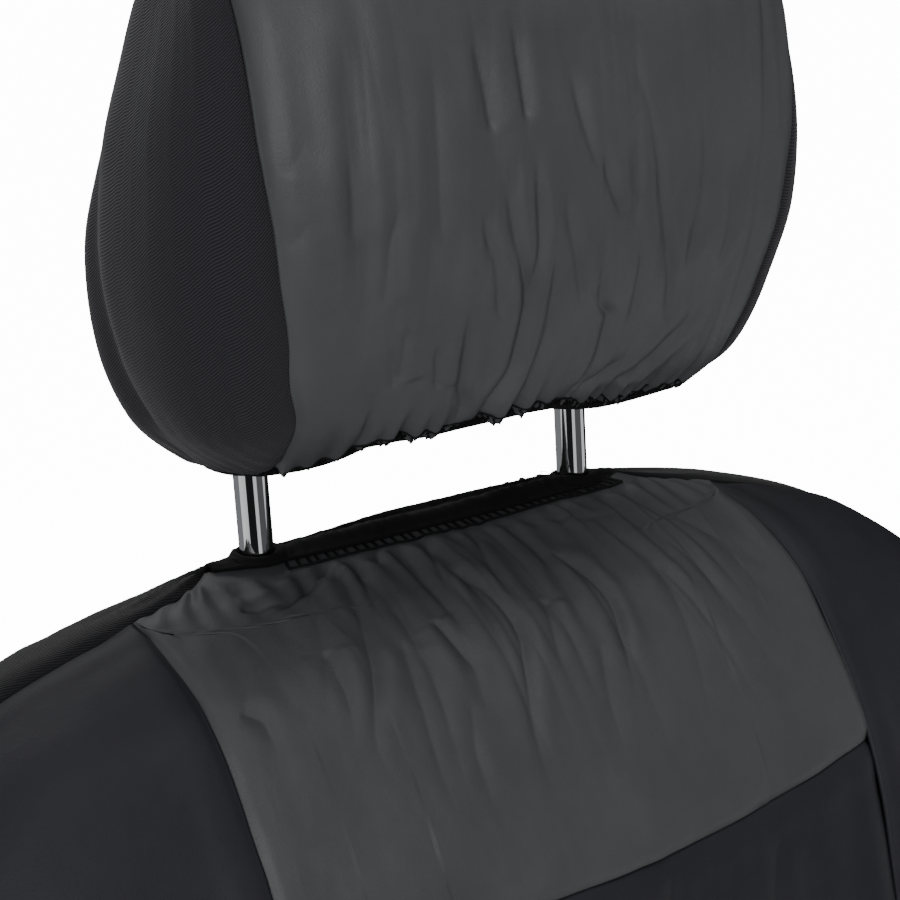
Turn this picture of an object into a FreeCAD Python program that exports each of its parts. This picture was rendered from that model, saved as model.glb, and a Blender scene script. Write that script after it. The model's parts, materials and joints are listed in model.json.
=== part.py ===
# Front bucket seat dressed in a fitted three-piece seat cover set: head restraint cover, backrest cover and cushion cover.
# Frame: +Z up, the seat faces -Y, +X to the right seen from the front. Origin: centre of the four floor bolts, on the floor.
# All sizes in millimetres.
import FreeCAD, Part
import os, math

V = FreeCAD.Vector
os.makedirs("parts", exist_ok=True)

# ---------------------------------------------------------------- driving dimensions
P0Y, P0Z = 470.0, 865.0          # point midway between the head restraint posts, at the top of the backrest cover
POST_LEAN = 5.7                  # the posts lean back by this many degrees
POST_R, POST_X = 6.0, 70.0       # 12 mm posts, 140 mm apart
COVER_T, FOAM_GAP = 3.0, 3.0     # cover laminate thickness, and its clearance to the foam
BOLT_X, BOLT_Y, BOLT_R = 205.0, 245.0, 5.5   # floor bolt pattern 410 x 490 mm, M10 clearance holes
HINGE_Y, HINGE_Z = 298.0, 265.0  # recline axis
LEVER_Y, LEVER_Z = 205.0, 140.0  # recliner lever's axis
SEAM_X = 124.0                   # centre panel's half width on the backrest
RIDGE = [(-620, -185), (-12, -15.6), (-5, -13.0), (-1.5, -5.0), (0.0, 1.0)]   # seam between leather front and fabric rear: height, y
SEAM_Z = -86.0                   # the seam under the grey panel, from the backrest's top
CUSH_SEAM_X = 150.0              # centre panel's half width on the cushion
HR_BOTTOM = 32.0                 # head restraint cover's hem above the backrest top
SLOT_X, SLOT_F, SLOT_B = 90.0, -11.5, 12.5    # opening for the posts in the backrest cover
N_BACK, N_HEAD = 3.2, 3.2        # squareness of the rings

# backrest rings, measured from the top point: height, half width, front, rear, bolster
BACK = [(0.0, 90, -11.5, 12.5, 0), (-1.5, 97, -25, 14.5, 0), (-5, 118, -40, 17.0, 0), (-12, 150, -59, 24.7, 0),
        (-24, 186, -76.3, 30.5, 0), (-45, 216, -93.5, 29.6, 0), (-80, 243, -114.5, 27, 2), (-130, 257, -131, 19, 6),
        (-200, 264, -151, 2, 14), (-300, 265, -176, -24, 20), (-400, 262, -200, -50, 20), (-470, 250, -217, -69, 14),
        (-520, 229, -228, -84, 6), (-545, 222.5, -232, -91, 2), (-566, 221, -233, -99, 0)]
# head restraint rings, measured along the posts from the same point: height, half width, front, rear
HEAD = [(32, 83, -39, 27, 0), (40, 94.6, -55.7, 31.0, 0), (56, 111.7, -76, 33, 0), (80, 121.8, -87.7, 34, 0),
        (110, 126, -97.8, 30.2, 0), (140, 123, -101.7, 22.3, 0), (170, 115, -101, 11, 0), (200, 104, -92, -2, 0),
        (218, 90, -80, -14, 0), (228, 74, -68, -26, 0), (233, 60, -58, -37, 0), (235, 48, -49, -46.4, 0)]
# seam between the head restraint's leather front and its fabric sides: height, distance from the middle
HEAD_SEAM = [(32, 79.0), (56, 84.0), (80, 88.0), (110, 92.0), (140, 96.0), (170, 99.0), (200, 94.0), (218, 82.0), (235, 44.0)]
# cushion rings in its own tilted frame: height, half width, front, rear
CUSH = [(0, 238, -248, 222), (14, 244, -256, 226), (45, 248, -262, 228), (80, 249, -262, 228), (100, 246, -256, 225),
        (114, 238, -243, 218), (122, 224, -226, 206), (126, 200, -200, 184)]
CUSH_TILT = 6.0                  # the cushion's front is raised
CUSH_Y, CUSH_Z = -14.0, 190.0    # middle of the cushion's underside

NODES = {}


def put(name, shape):
    """Keeps a solid or a group of solids under a node's name."""
    if isinstance(shape, (list, tuple)):
        shape = Part.makeCompound([s for s in shape])
    NODES[name] = shape


def spow(v, p):
    return math.copysign(abs(v) ** p, v)


def ring(z, a, yf, yb, n=3.2, bol=0.0, N=40, bx=0.76):
    """Closed smooth wire: a superellipse with bolsters on its front."""
    yc, b = (yf + yb) / 2.0, (yb - yf) / 2.0
    pts = []
    for i in range(N):
        t = 2 * math.pi * (i + 0.5) / N
        x, y = a * spow(math.cos(t), 2.0 / n), b * spow(math.sin(t), 2.0 / n)
        if y < 0:
            y -= bol * math.exp(-((abs(x) / a - bx) / 0.17) ** 2) * min(1.0, -y / (0.6 * b))
        pts.append(V(x, yc + y, z))
    c = Part.BSplineCurve()
    c.interpolate(Points=pts, PeriodicFlag=True)
    return Part.Wire([c.toShape()])


def loft(rows, n=3.2, off=0.0, top=None, below=0.0, bottom_off=0.0):
    """Solid through the rings, shrunk by off all round; below lowers the first ring to cut an open end."""
    rows = sorted(rows, key=lambda r: r[0])
    wires = []
    for i, r in enumerate(rows):
        z, a, yf, yb = r[0], r[1], r[2], r[3]
        bol = r[4] if len(r) > 4 else 0.0
        if i == 0:
            z += bottom_off - below
        if i == len(rows) - 1:
            z -= off
        elif i > len(rows) - 5:
            z -= off * (i - (len(rows) - 5)) / 4.0
        wires.append(ring(z, a - off, yf + off, yb - off, n, bol))
    s = Part.makeLoft(wires, True, False)
    return s


def place(shape, y, z, lean=0.0):
    """Leans a shape back by lean degrees about the X axis, then moves it."""
    s = shape.copy()
    if lean:
        s.rotate(V(0, 0, 0), V(1, 0, 0), -lean)
    s.translate(V(0, y, z))
    return s


def pchip(xs, ys):
    """Monotone cubic through the points, xs rising."""
    n = len(xs)
    h = [xs[i + 1] - xs[i] for i in range(n - 1)]
    d = [(ys[i + 1] - ys[i]) / h[i] for i in range(n - 1)]
    m = [0.0] * n
    m[0], m[-1] = d[0], d[-1]
    for i in range(1, n - 1):
        if d[i - 1] * d[i] <= 0:
            m[i] = 0.0
        else:
            w1, w2 = 2 * h[i] + h[i - 1], h[i] + 2 * h[i - 1]
            m[i] = (w1 + w2) / (w1 / d[i - 1] + w2 / d[i])

    def f(x):
        x = min(max(x, xs[0]), xs[-1])
        i = 0
        while i < n - 2 and x > xs[i + 1]:
            i += 1
        t = (x - xs[i]) / h[i]
        return ((1 + 2 * t) * (1 - t) ** 2 * ys[i] + t * (1 - t) ** 2 * h[i] * m[i]
                + t * t * (3 - 2 * t) * ys[i + 1] + t * t * (t - 1) * h[i] * m[i + 1])
    return f


class Body:
    """Smooth skin through rings. s runs 0 to 1 along the rows, th is the angle round, front at -90 degrees."""

    def __init__(self, rows, n):
        self.n = n
        ln = [0.0]
        for p, q in zip(rows, rows[1:]):
            ln.append(ln[-1] + math.sqrt((q[0] - p[0]) ** 2 + (0.5 * (q[1] - p[1])) ** 2 + (0.7 * (q[2] - p[2])) ** 2) + 1e-6)
        s = [v / ln[-1] for v in ln]
        self.z, self.a, self.f, self.b, self.bol = [pchip(s, [r[k] for r in rows]) for k in range(5)]
        self.s = s

    def ring(self, s):
        return self.z(s), self.a(s), self.f(s), self.b(s), self.bol(s)

    def at(self, s, th):
        z, a, f, b, bol = self.ring(s)
        c, w = math.cos(th), math.sin(th)
        r = (abs(c) ** self.n + abs(w) ** self.n) ** (-1.0 / self.n)
        yc, h = (f + b) / 2.0, (b - f) / 2.0
        x, y = a * r * c, h * r * w
        if y < 0 and bol:
            y -= bol * math.exp(-((abs(x) / a - 0.76) / 0.17) ** 2) * min(1.0, -y / (0.6 * h))
        return V(x, yc + y, z)

    def normal(self, s, th):
        e, g = 1e-3, 2e-3
        s0, s1 = max(0.0, s - e), min(1.0, s + e)
        u = self.at(s1, th) - self.at(s0, th)
        v = self.at(s, th + g) - self.at(s, th - g)
        n = v.cross(u)
        n.normalize()
        z, a, f, b, bol = self.ring(s)
        if n.dot(self.at(s, th) - V(0, (f + b) / 2.0, z - 1.0)) < 0:
            n = n * -1
        return n

    def th_x(self, s, x, front=True):
        """Angle on the front (or the rear) where the skin passes x, or None."""
        z, a, f, b, bol = self.ring(s)
        u = x / a
        if abs(u) >= 0.999:
            return None
        v = (1 - abs(u) ** self.n) ** (1.0 / self.n)
        return math.atan2(-v if front else v, u)

    def th_y(self, s, y, side):
        """Angle on the left (side -1) or right where the skin passes y."""
        z, a, f, b, bol = self.ring(s)
        v = max(-0.999, min(0.999, (y - (f + b) / 2.0) / ((b - f) / 2.0)))
        u = (1 - abs(v) ** self.n) ** (1.0 / self.n)
        return math.atan2(v, side * u)

    def s_of_z(self, z):
        lo, hi = 0.0, 1.0
        up = self.z(1.0) > self.z(0.0)
        for _ in range(50):
            mid = (lo + hi) / 2.0
            if (self.z(mid) < z) == up:
                lo = mid
            else:
                hi = mid
        return (lo + hi) / 2.0


def panel(body, s0, s1, th0, th1, t, ns=18, nt=14, off=0.0, seam=0.15):
    """Curved sheet solid between two rows and two seams, t thick, laid off inward from the skin."""
    outer_g, inner_g = [], []
    for i in range(ns + 1):
        s = s0 + (s1 - s0) * i / float(ns)
        a0, a1 = th0(s), th1(s)
        p0, p1 = body.at(s, a0), body.at(s, a1)
        da = (a1 - a0) * min(0.2, seam / max(0.5, (p1 - p0).Length))
        a0, a1 = a0 + da, a1 - da
        ro, ri = [], []
        for j in range(nt + 1):
            th = a0 + (a1 - a0) * j / float(nt)
            p, n = body.at(s, th), body.normal(s, th)
            ro.append(p - n * off)
            ri.append(p - n * (off + t))
        outer_g.append(ro)
        inner_g.append(ri)
    so, si = Part.BSplineSurface(), Part.BSplineSurface()
    so.interpolate(outer_g)
    si.interpolate(inner_g)
    u0, u1, v0, v1 = so.bounds()
    w0, w1, x0, x1 = si.bounds()
    faces = [so.toShape(), si.toShape()]
    for eo, ei in ((so.uIso(u0), si.uIso(w0)), (so.uIso(u1), si.uIso(w1)), (so.vIso(v0), si.vIso(x0)), (so.vIso(v1), si.vIso(x1))):
        faces.append(Part.makeRuledSurface(eo.toShape(), ei.toShape()))
    sh = Part.makeShell(faces)
    sh.sewShape()
    if sh.ShapeType != "Shell":
        sh = sh.Shells[0]
    sol = Part.makeSolid(sh)
    if sol.Volume < 0:
        sol.reverse()
    return sol


def body_solid(body, s0, s1, off, ns=16, N=48):
    """Closed solid inside the skin, off inward from it everywhere."""
    wires = []
    for i in range(ns + 1):
        s = s0 + (s1 - s0) * i / float(ns)
        z = body.z(s)
        ps = [(body.at(s, 2 * math.pi * (k + 0.5) / N), body.normal(s, 2 * math.pi * (k + 0.5) / N)) for k in range(N)]
        dz = off * sum(n.z for p, n in ps) / N if off else 0.0
        pts = []
        for p, n in ps:
            h = V(n.x, n.y, 0)
            if h.Length > 1e-6:
                h.normalize()
            pts.append(V(p.x - h.x * off, p.y - h.y * off, z - dz))
        c = Part.BSplineCurve()
        # every ring shares one set of parameters, so the loft's surface stays light
        c.interpolate(Points=pts, PeriodicFlag=True, Parameters=[k / float(N) for k in range(N + 1)])
        wires.append(Part.Wire([c.toShape()]))
    return Part.makeLoft(wires, True, False)


def box(x0, x1, y0, y1, z0, z1):
    return Part.makeBox(x1 - x0, y1 - y0, z1 - z0, V(x0, y0, z0))


def cyl(r, p, d, h):
    return Part.makeCylinder(r, h, V(*p), V(*d))


def rounded(x0, x1, y0, y1, z0, z1, r, axis="z"):
    """Box with its four edges along axis rounded."""
    b = box(x0, x1, y0, y1, z0, z1)
    es = []
    for e in b.Edges:
        t = e.tangentAt(e.FirstParameter)
        if abs(getattr(t, axis)) > 0.99:
            es.append(e)
    return b.makeFillet(r, es)


def tube_path(points, r, radii, section_r=None):
    """Round bar along straight runs joined by tangent arcs."""
    pts = [V(*p) for p in points]
    edges, last = [], pts[0]
    for i in range(1, len(pts) - 1):
        a, b, c = pts[i - 1], pts[i], pts[i + 1]
        u, w = (a - b).normalize(), (c - b).normalize()
        half = math.acos(max(-1, min(1, u.dot(w)))) / 2.0
        d = radii[i - 1] / math.tan(half)
        p1, p2 = b + u * d, b + w * d
        bis = (u + w).normalize()
        centre = b + bis * (radii[i - 1] / math.sin(half))
        mid = centre - bis * radii[i - 1]
        edges.append(Part.LineSegment(last, p1).toShape())
        edges.append(Part.Arc(p1, mid, p2).toShape())
        last = p2
    edges.append(Part.LineSegment(last, pts[-1]).toShape())
    path = Part.Wire(edges)
    d0 = (pts[1] - pts[0]).normalize()
    prof = Part.Wire([Part.makeCircle(r, pts[0], d0)])
    return path.makePipeShell([prof], True, False)


def solid_of(shape):
    s = shape.Solids
    return s[0] if len(s) == 1 else Part.makeCompound(s)


# ================================================================ base: floor feet and lower rails
for sx, side in ((-1, "left"), (1, "right")):
    x = sx * BOLT_X
    # floor feet: pressed brackets with a flat pad, a web and a saddle that the rail is riveted to
    for sy, end in ((-1, "front"), (1, "rear")):
        y = sy * BOLT_Y
        pad = rounded(x - 24, x + 24, y - 24, y + 24, 0, 5, 8)
        hole = cyl(BOLT_R, (x, y, -1), (0, 0, 1), 8)
        inner = y - sy * 24
        web = box(x - 20, x + 20, min(inner, inner - sy * 5), max(inner, inner - sy * 5), 0, 44)
        saddle = box(x - 20, x + 20, min(inner - sy * 5, inner - sy * 60), max(inner - sy * 5, inner - sy * 60), 39, 44)
        s = pad.cut(hole).fuse(web).fuse(saddle).removeSplitter()
        put("floor_foot_%s_%s" % (end, side), solid_of(s))
    # lower rail: channel with its lips turned in
    rail = box(x - 24, x + 24, -262, 262, 44, 72).cut(box(x - 21, x + 21, -263, 263, 47, 69))
    rail = rail.cut(box(x - 9, x + 9, -263, 263, 60, 80))
    put("lower_rail_%s" % side, solid_of(rail))

# ================================================================ seat: upper rails, side members, pan, foam
rivets = []
for sx, side in ((-1, "left"), (1, "right")):
    x = sx * BOLT_X
    up = box(x - 7, x + 7, -235, 235, 52, 92).fuse(box(x - 20, x + 20, -235, 235, 50, 57))
    up = up.cut(box(x - 4, x + 4, -236, 236, 60, 96)).removeSplitter()
    put("upper_rail_%s" % side, solid_of(up))
    # side member: pressed plate that stands on the upper rail and carries the recline hinge
    xm = sx * 228.0
    pts = [(-215, 92.4), (250, 92.4), (330, 225), (336, 270), (318, 296), (280, 296), (256, 268), (238, 190), (200, 168),
           (150, 163), (-150, 185), (-222, 186), (-230, 150)]
    wire = Part.makePolygon([V(xm - 2, p[0], p[1]) for p in pts + pts[:1]])
    plate = Part.Face(wire).extrude(V(4, 0, 0))
    foot = box(min(x - sx * 8, xm + sx * 2), max(x - sx * 8, xm + sx * 2), -215, 245, 92.4, 96.4)
    plate = plate.fuse(foot)
    plate = plate.cut(cyl(7.05, (xm - 10, HINGE_Y, HINGE_Z), (1, 0, 0), 20))
    for yy, zz, rr in ((-120, 150, 7), (0, 140, 7), (110, 136, 7)):
        plate = plate.cut(cyl(rr, (xm - 10, yy, zz), (1, 0, 0), 20))
    if sx < 0:
        plate = plate.cut(cyl(5.05, (xm - 10, LEVER_Y, LEVER_Z), (1, 0, 0), 20))
    # pivot lug of the slide release bar, folded up from the foot
    lug = box(min(sx * 197, sx * 201), max(sx * 197, sx * 201), -74, -46, 92.4, 126)
    plate = plate.fuse(lug).cut(cyl(4.06, (sx * 195, -60, 112), (sx, 0, 0), 8))
    put("side_member_%s" % side, solid_of(plate.removeSplitter()))
    for yy in (-190, 0, 190):
        rivets.append(cyl(5.5, (x, yy, 96.4), (0, 0, 1), 5))
put("rail_bolt_heads", rivets)
# nylon glides clipped on the upper rails, filling the lower channels
glides = []
for sx in (-1, 1):
    x = sx * BOLT_X
    for y0 in (-228, -80, 56, 204):
        glides.append(box(x - 20.5, x + 20.5, y0, y0 + 24, 47.3, 50))
        for s2 in (-1, 1):
            glides.append(box(min(x + s2 * 9.6, x + s2 * 20.5), max(x + s2 * 9.6, x + s2 * 20.5), y0, y0 + 24, 57, 68.7))
put("rail_glides", glides)

# cross tubes between the side members
put("cross_tube_front", cyl(12, (-225.7, -185, 165), (1, 0, 0), 451.4))
put("cross_tube_rear", cyl(12, (-225.7, 226, 130), (1, 0, 0), 451.4))

# cushion: rings in a frame tilted so that the front is higher
def cush(shape):
    return place(shape, CUSH_Y, CUSH_Z, CUSH_TILT)


outer = loft(CUSH, n=4.5)
inner = loft(CUSH, n=4.5, off=COVER_T, below=8)
shell = outer.cut(inner)
foam = loft(CUSH, n=4.5, off=COVER_T + FOAM_GAP, bottom_off=6)
pan_space = box(-212, 212, -220, 200, 0, 14)
put("cushion_foam", solid_of(cush(foam.cut(pan_space))))
# pressed steel pan in the underside of the foam, with drain holes and stiffening ribs
pan = rounded(-208, 208, -216, 196, 5.8, 8.8, 40)
for xx in (-120, 0, 120):
    for yy in (-130, -10, 110):
        pan = pan.cut(cyl(22, (xx, yy, 0), (0, 0, 1), 20))
for xx in (-60, 60):
    pan = pan.fuse(rounded(xx - 7, xx + 7, -170, 150, 8.0, 12.0, 6.9))
put("cushion_pan", solid_of(cush(pan.removeSplitter())))
brackets = []
for sx in (-1, 1):
    for y0 in (-140, 60):
        b1 = box(min(sx * 190, sx * 225.8), max(sx * 190, sx * 225.8), y0, y0 + 40, 2.8, 5.8)
        b2 = box(min(sx * 222.8, sx * 225.8), max(sx * 222.8, sx * 225.8), y0, y0 + 40, -16, 5.8)
        brackets.append(cush(b1.fuse(b2).removeSplitter()))
put("pan_brackets", brackets)

# cushion cover panels: bolsters, grey front panel, black rear panel, fabric skirt
SK = 62.0
skirt = shell.common(box(-300, 300, -300, 300, -20, SK))
top = shell.common(box(-300, 300, -300, 300, SK, 200))
put("cushion_cover_skirt", solid_of(cush(skirt)))
put("cushion_cover_bolster_left", solid_of(cush(top.common(box(-300, -CUSH_SEAM_X, -300, 300, SK, 200)))))
put("cushion_cover_bolster_right", solid_of(cush(top.common(box(CUSH_SEAM_X, 300, -300, 300, SK, 200)))))
mid = top.common(box(-CUSH_SEAM_X, CUSH_SEAM_X, -300, 300, SK, 200))
put("cushion_cover_front_panel", solid_of(cush(mid.common(box(-200, 200, -300, -120, SK, 200)))))
put("cushion_cover_rear_panel", solid_of(cush(mid.common(box(-200, 200, -120, 300, SK, 200)))))
# elastic hem under the skirt, two straps that cross under the seat, and their hooks on the pan's rim
hem = rounded(-236, 236, -246, 220, -6.4, -0.4, 70).cut(rounded(-231, 231, -241, 215, -8, 2, 66))
put("cushion_cover_hem_elastic", solid_of(cush(hem)))
straps, hooks = [], []
for sx in (-1, 1):
    x = sx * 150
    straps.append(cush(box(x - 12.5, x + 12.5, -240.6, 214.6, -5.4, -3.8)))
    for y in (-150, 130):
        hooks.append(cush(box(x - 9, x + 9, y - 14, y + 14, -3.6, -1.6).fuse(box(x - 9, x + 9, y - 14, y - 11, -3.6, 5.6))))
put("cover_straps", straps)
put("strap_hooks", hooks)

# recliner discs and side trims
for sx, side in ((-1, "left"), (1, "right")):
    xo = sx * 230.3
    disc = cyl(30, (xo, HINGE_Y, HINGE_Z), (sx, 0, 0), 6)
    disc = disc.cut(cyl(12.0, (xo - sx, HINGE_Y, HINGE_Z), (sx, 0, 0), 12))
    put("recliner_disc_%s" % side, disc)
    # moulded trim over the side member and the recliner: a hollow shell, open on its inner side
    xa, xb = (236.8, 262.0)
    prof = [(-222, 128), (-190, 104), (-60, 99), (100, 99), (236, 104), (296, 160), (340, 226), (346, 272), (328, 306),
            (292, 314), (264, 294), (248, 246), (232, 186), (196, 158), (120, 152), (-60, 170), (-200, 182), (-226, 164)]

    def outline(shrink, x):
        c = Part.BSplineCurve()
        c.interpolate(Points=[V(x, p[0], p[1]) for p in prof], PeriodicFlag=True)
        if shrink:
            pts = []
            n = 72
            for i in range(n):
                u = c.FirstParameter + (c.LastParameter - c.FirstParameter) * i / n
                p = c.value(u)
                t = c.tangent(u)[0]
                nn = V(0, -t.z, t.y)
                pts.append((p, nn))
            area = sum(pts[i][0].y * pts[(i + 1) % n][0].z - pts[(i + 1) % n][0].y * pts[i][0].z for i in range(n))
            sg = 1 if area > 0 else -1
            c = Part.BSplineCurve()
            c.interpolate(Points=[p + nn * (shrink * sg) for p, nn in pts], PeriodicFlag=True)
        return Part.Wire([c.toShape()])
    body = Part.Face(outline(0, xa)).extrude(V(xb - xa, 0, 0))
    es = [e for e in body.Edges if abs(e.CenterOfMass.x - xb) < 0.01]
    body = body.makeFillet(5.0, es)
    hollow = Part.Face(outline(3.0, xa - 1)).extrude(V(xb - xa - 1.5, 0, 0))
    trim = body.cut(hollow)
    if sx < 0:
        trim = trim.mirror(V(0, 0, 0), V(1, 0, 0))
        trim = trim.cut(cyl(12.4, (-270, LEVER_Y, LEVER_Z), (1, 0, 0), 40))
    put("side_trim_%s" % side, solid_of(trim))

# pivot bolts of the recline hinge: shoulder in the side member and the disc, head outside
bolts = []
for sx in (-1, 1):
    bolts.append(cyl(7.0, (sx * 201.0, HINGE_Y, HINGE_Z), (sx, 0, 0), 33.0).fuse(cyl(11.0, (sx * 234.0, HINGE_Y, HINGE_Z), (-sx, 0, 0), 3.4)).removeSplitter())
put("recline_pivot_bolts", bolts)

# ================================================================ recline lever, on the left side
hub = cyl(12.0, (-231.0, LEVER_Y, LEVER_Z), (-1, 0, 0), 34.0)
spindle = cyl(5.0, (-222.0, LEVER_Y, LEVER_Z), (-1, 0, 0), 10.0)
arm = rounded(-269.5, -263.0, 62, 224, 124, 156, 14, "x")
grip = rounded(-277, -263.0, 56, 140, 126, 150, 9.0, "x")
grip = grip.makeFillet(2.5, [e for e in grip.Edges if abs(e.CenterOfMass.x + 277) < 0.01])
lever = hub.fuse(spindle).fuse(arm).fuse(grip).removeSplitter()
put("recline_lever", solid_of(lever))

# ================================================================ slide release bar under the cushion's front
bar = tube_path([(-188, -52, 112), (-188, -268, 112), (188, -268, 112), (188, -52, 112)], 5.0, [34, 34])
for sx in (-1, 1):
    bar = bar.fuse(cyl(4.0, (sx * 188, -60, 112), (sx, 0, 0), 17))
bar = bar.removeSplitter()
put("slide_release_bar", solid_of(bar))
grip = cyl(8.5, (-60, -268, 112), (1, 0, 0), 120)
grip = grip.makeFillet(2.5, [e for e in grip.Edges if abs(abs(e.CenterOfMass.x) - 60) < 0.01])
put("release_bar_grip", solid_of(grip.cut(cyl(5.02, (-61, -268, 112), (1, 0, 0), 122))))

# ================================================================ backrest
def back(shape):
    return place(shape, P0Y, P0Z)


def posts_frame(shape):
    return place(shape, P0Y, P0Z, POST_LEAN)


BB = Body(BACK, N_BACK)
ridge_y = pchip([r[0] for r in RIDGE], [r[1] for r in RIDGE])


def unwrap(th):
    return th - 2 * math.pi if th > math.pi / 2 else th


def ridge_th(s):
    """Left ridge seam's angle, between -90 and -270 degrees."""
    return unwrap(BB.th_y(s, ridge_y(BB.z(s)), -1))


def seam_th(s):
    """Left edge of the centre panel: the leather seam, or the ridge above it."""
    r = ridge_th(s)
    x = BB.th_x(s, -SEAM_X)
    return x if x is not None and x > r else r


def mirror_th(f):
    return lambda s: -math.pi - f(s)


s_seam = BB.s_of_z(SEAM_Z)
s_cor = BB.s_of_z(-9.0)
put("back_cover_grey_panel", back(panel(BB, 0.0, s_seam - 0.0003, seam_th, mirror_th(seam_th), COVER_T, 22, 18, 0.0, 1.2)))
put("back_cover_lower_panel", back(panel(BB, s_seam + 0.0003, 1.0, seam_th, mirror_th(seam_th), COVER_T, 26, 14)))
put("back_cover_bolster_left", back(panel(BB, s_cor, 1.0, ridge_th, seam_th, COVER_T, 34, 12)))
put("back_cover_bolster_right", back(panel(BB, s_cor, 1.0, mirror_th(seam_th), mirror_th(ridge_th), COVER_T, 34, 12)))
put("back_cover_rear", back(panel(BB, 0.0, 1.0, lambda s: -math.pi - ridge_th(s), lambda s: ridge_th(s) + 2 * math.pi, COVER_T, 34, 26, 0.0, 1.2)))

foam = body_solid(BB, BB.s_of_z(-3.0), BB.s_of_z(-562), COVER_T + FOAM_GAP, 30)


def between(p0, p1, q0, q1, x0, x1):
    """Slab across X between two slanting planes, each given by its top and bottom point in (y, z)."""
    f = Part.Face(Part.makePolygon([V(x0, p0[0], p0[1]), V(x0, p1[0], p1[1]), V(x0, q1[0], q1[1]), V(x0, q0[0], q0[1]), V(x0, p0[0], p0[1])]))
    return f.extrude(V(x1 - x0, 0, 0))


# glued up from a front pad, a rear pad, two side bolsters and a top block round a hollow for the frame
F0, F1 = (-46.0, -62.0), (-166.0, -600.0)
R0, R1 = (14.0, -62.0), (-112.0, -600.0)
front_pad = foam.common(between((-300, -62), (-400, -600), F0, F1, -300, 300))
for sx in (-1, 1):
    # slots for the recliner arms
    front_pad = front_pad.cut(box(min(sx * 199, sx * 232), max(sx * 199, sx * 232), HINGE_Y - P0Y - 34, HINGE_Y - P0Y + 80, -600, -442))
rear_pad = foam.common(between(R0, R1, (150, -62), (100, -600), -300, 300))
top_block = foam.common(box(-300, 300, -300, 300, -62, 10))
side_l = foam.common(between(F0, F1, R0, R1, -300, -207)).common(box(-300, 300, -300, 300, -438, -62))
side_r = foam.common(between(F0, F1, R0, R1, 207, 300)).common(box(-300, 300, -300, 300, -438, -62))
for sx in (-1, 1):
    top_block = top_block.cut(place(cyl(12.5, (sx * POST_X, 0, -140), (0, 0, 1), 160), 0, 0, POST_LEAN))
    top_block = top_block.cut(place(box(sx * POST_X - 19, sx * POST_X + 19, -18, 20, -24, 10), 0, 0, POST_LEAN))
for sx in (-1, 1):
    # channels in the rear pad for the posts' lower ends at their lowest notch
    rear_pad = rear_pad.cut(place(cyl(POST_R + 2.5, (sx * POST_X, 0, -204), (0, 0, 1), 150), 0, 0, POST_LEAN))
foam = Part.makeCompound([s for piece in (front_pad, rear_pad, top_block, side_l, side_r) for s in piece.Solids])
put("back_foam", back(foam))

# tubular frame: inverted U inside the foam, its feet flattened onto the recliner arms
fx = 190.0
hoop = tube_path([(-fx, HINGE_Y + 36, HINGE_Z + 62), (-fx, P0Y - 76, P0Z - 300), (-fx + 22, P0Y - 29.6, P0Z - 77),
                  (fx - 22, P0Y - 29.6, P0Z - 77), (fx, P0Y - 76, P0Z - 300), (fx, HINGE_Y + 36, HINGE_Z + 62)], 10.0, [120, 45, 45, 120])
put("back_frame_hoop", solid_of(hoop))
put("back_frame_cross_tube", cyl(9.0, (-179.9, P0Y - 108.5, P0Z - 430), (1, 0, 0), 359.8))
for sx, side in ((-1, "left"), (1, "right")):
    xi = sx * 203.4
    pts = [(HINGE_Y - 24, HINGE_Z - 10), (HINGE_Y - 8, HINGE_Z - 24), (HINGE_Y + 14, HINGE_Z - 22), (HINGE_Y + 26, HINGE_Z),
           (HINGE_Y + 32, HINGE_Z + 40), (HINGE_Y + 66, HINGE_Z + 150), (HINGE_Y + 24, HINGE_Z + 150), (HINGE_Y - 24, HINGE_Z + 40)]
    f = Part.Face(Part.makePolygon([V(min(xi, xi + sx * 4), p[0], p[1]) for p in pts + pts[:1]]))
    arm_p = f.extrude(V(4, 0, 0)).cut(cyl(7.05, (xi - sx * 2, HINGE_Y, HINGE_Z), (sx, 0, 0), 10))
    # welded blocks that close the distance to the hoop
    boss = box(min(xi, sx * 200.2), max(xi, sx * 200.2), HINGE_Y + 36, HINGE_Y + 54, HINGE_Z + 80, HINGE_Z + 140)
    put("recliner_arm_%s" % side, solid_of(arm_p.fuse(boss).removeSplitter()))
springs = []
for yy, zz, w in ((-57.4, -230, 171.0), (-70, -290, 176.5), (-84.5, -350, 179.4), (-97, -400, 179.4)):
    p = [(-w, 0), (-110, -12), (-40, 12), (40, -12), (110, 12), (w, 0)]
    springs.append(tube_path([(q[0], P0Y + yy - 4, P0Z + zz + q[1]) for q in p], 1.6, [30, 30, 30, 30]))
put("back_springs", springs)
tubes = [posts_frame(cyl(11.0, (sx * POST_X, 0, -112), (0, 0, 1), 62).cut(cyl(9.02, (sx * POST_X, 0, -113), (0, 0, 1), 64))) for sx in (-1, 1)]
put("head_guide_tubes", tubes)
for sx, side in ((-1, "left"), (1, "right")):
    x = sx * POST_X
    s = cyl(9.0, (x, 0, -122), (0, 0, 1), 106).fuse(rounded(x - 12, x + 12, -13, 15, -19, -8, 6))
    s = s.removeSplitter()
    s = s.cut(cyl(POST_R + 0.06, (x, 0, -130), (0, 0, 1), 140))
    if sx < 0:
        s = s.cut(box(x - 14, x - 8.6, -6.8, 6.8, -17.2, -9.6)).cut(box(x - 14, x - 3, -4.2, 4.2, -15.2, -11.8))
    put("head_guide_sleeve_%s" % side, solid_of(posts_frame(s)))
button = rounded(-POST_X - 14.6, -POST_X - 12.6, -6.3, 6.3, -16.8, -10.0, 2.4, "x").fuse(
    box(-POST_X - 12.6, -POST_X - 9.6, -3.8, 3.8, -14.9, -12.1)).removeSplitter()
put("head_release_button", solid_of(posts_frame(button)))

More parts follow.
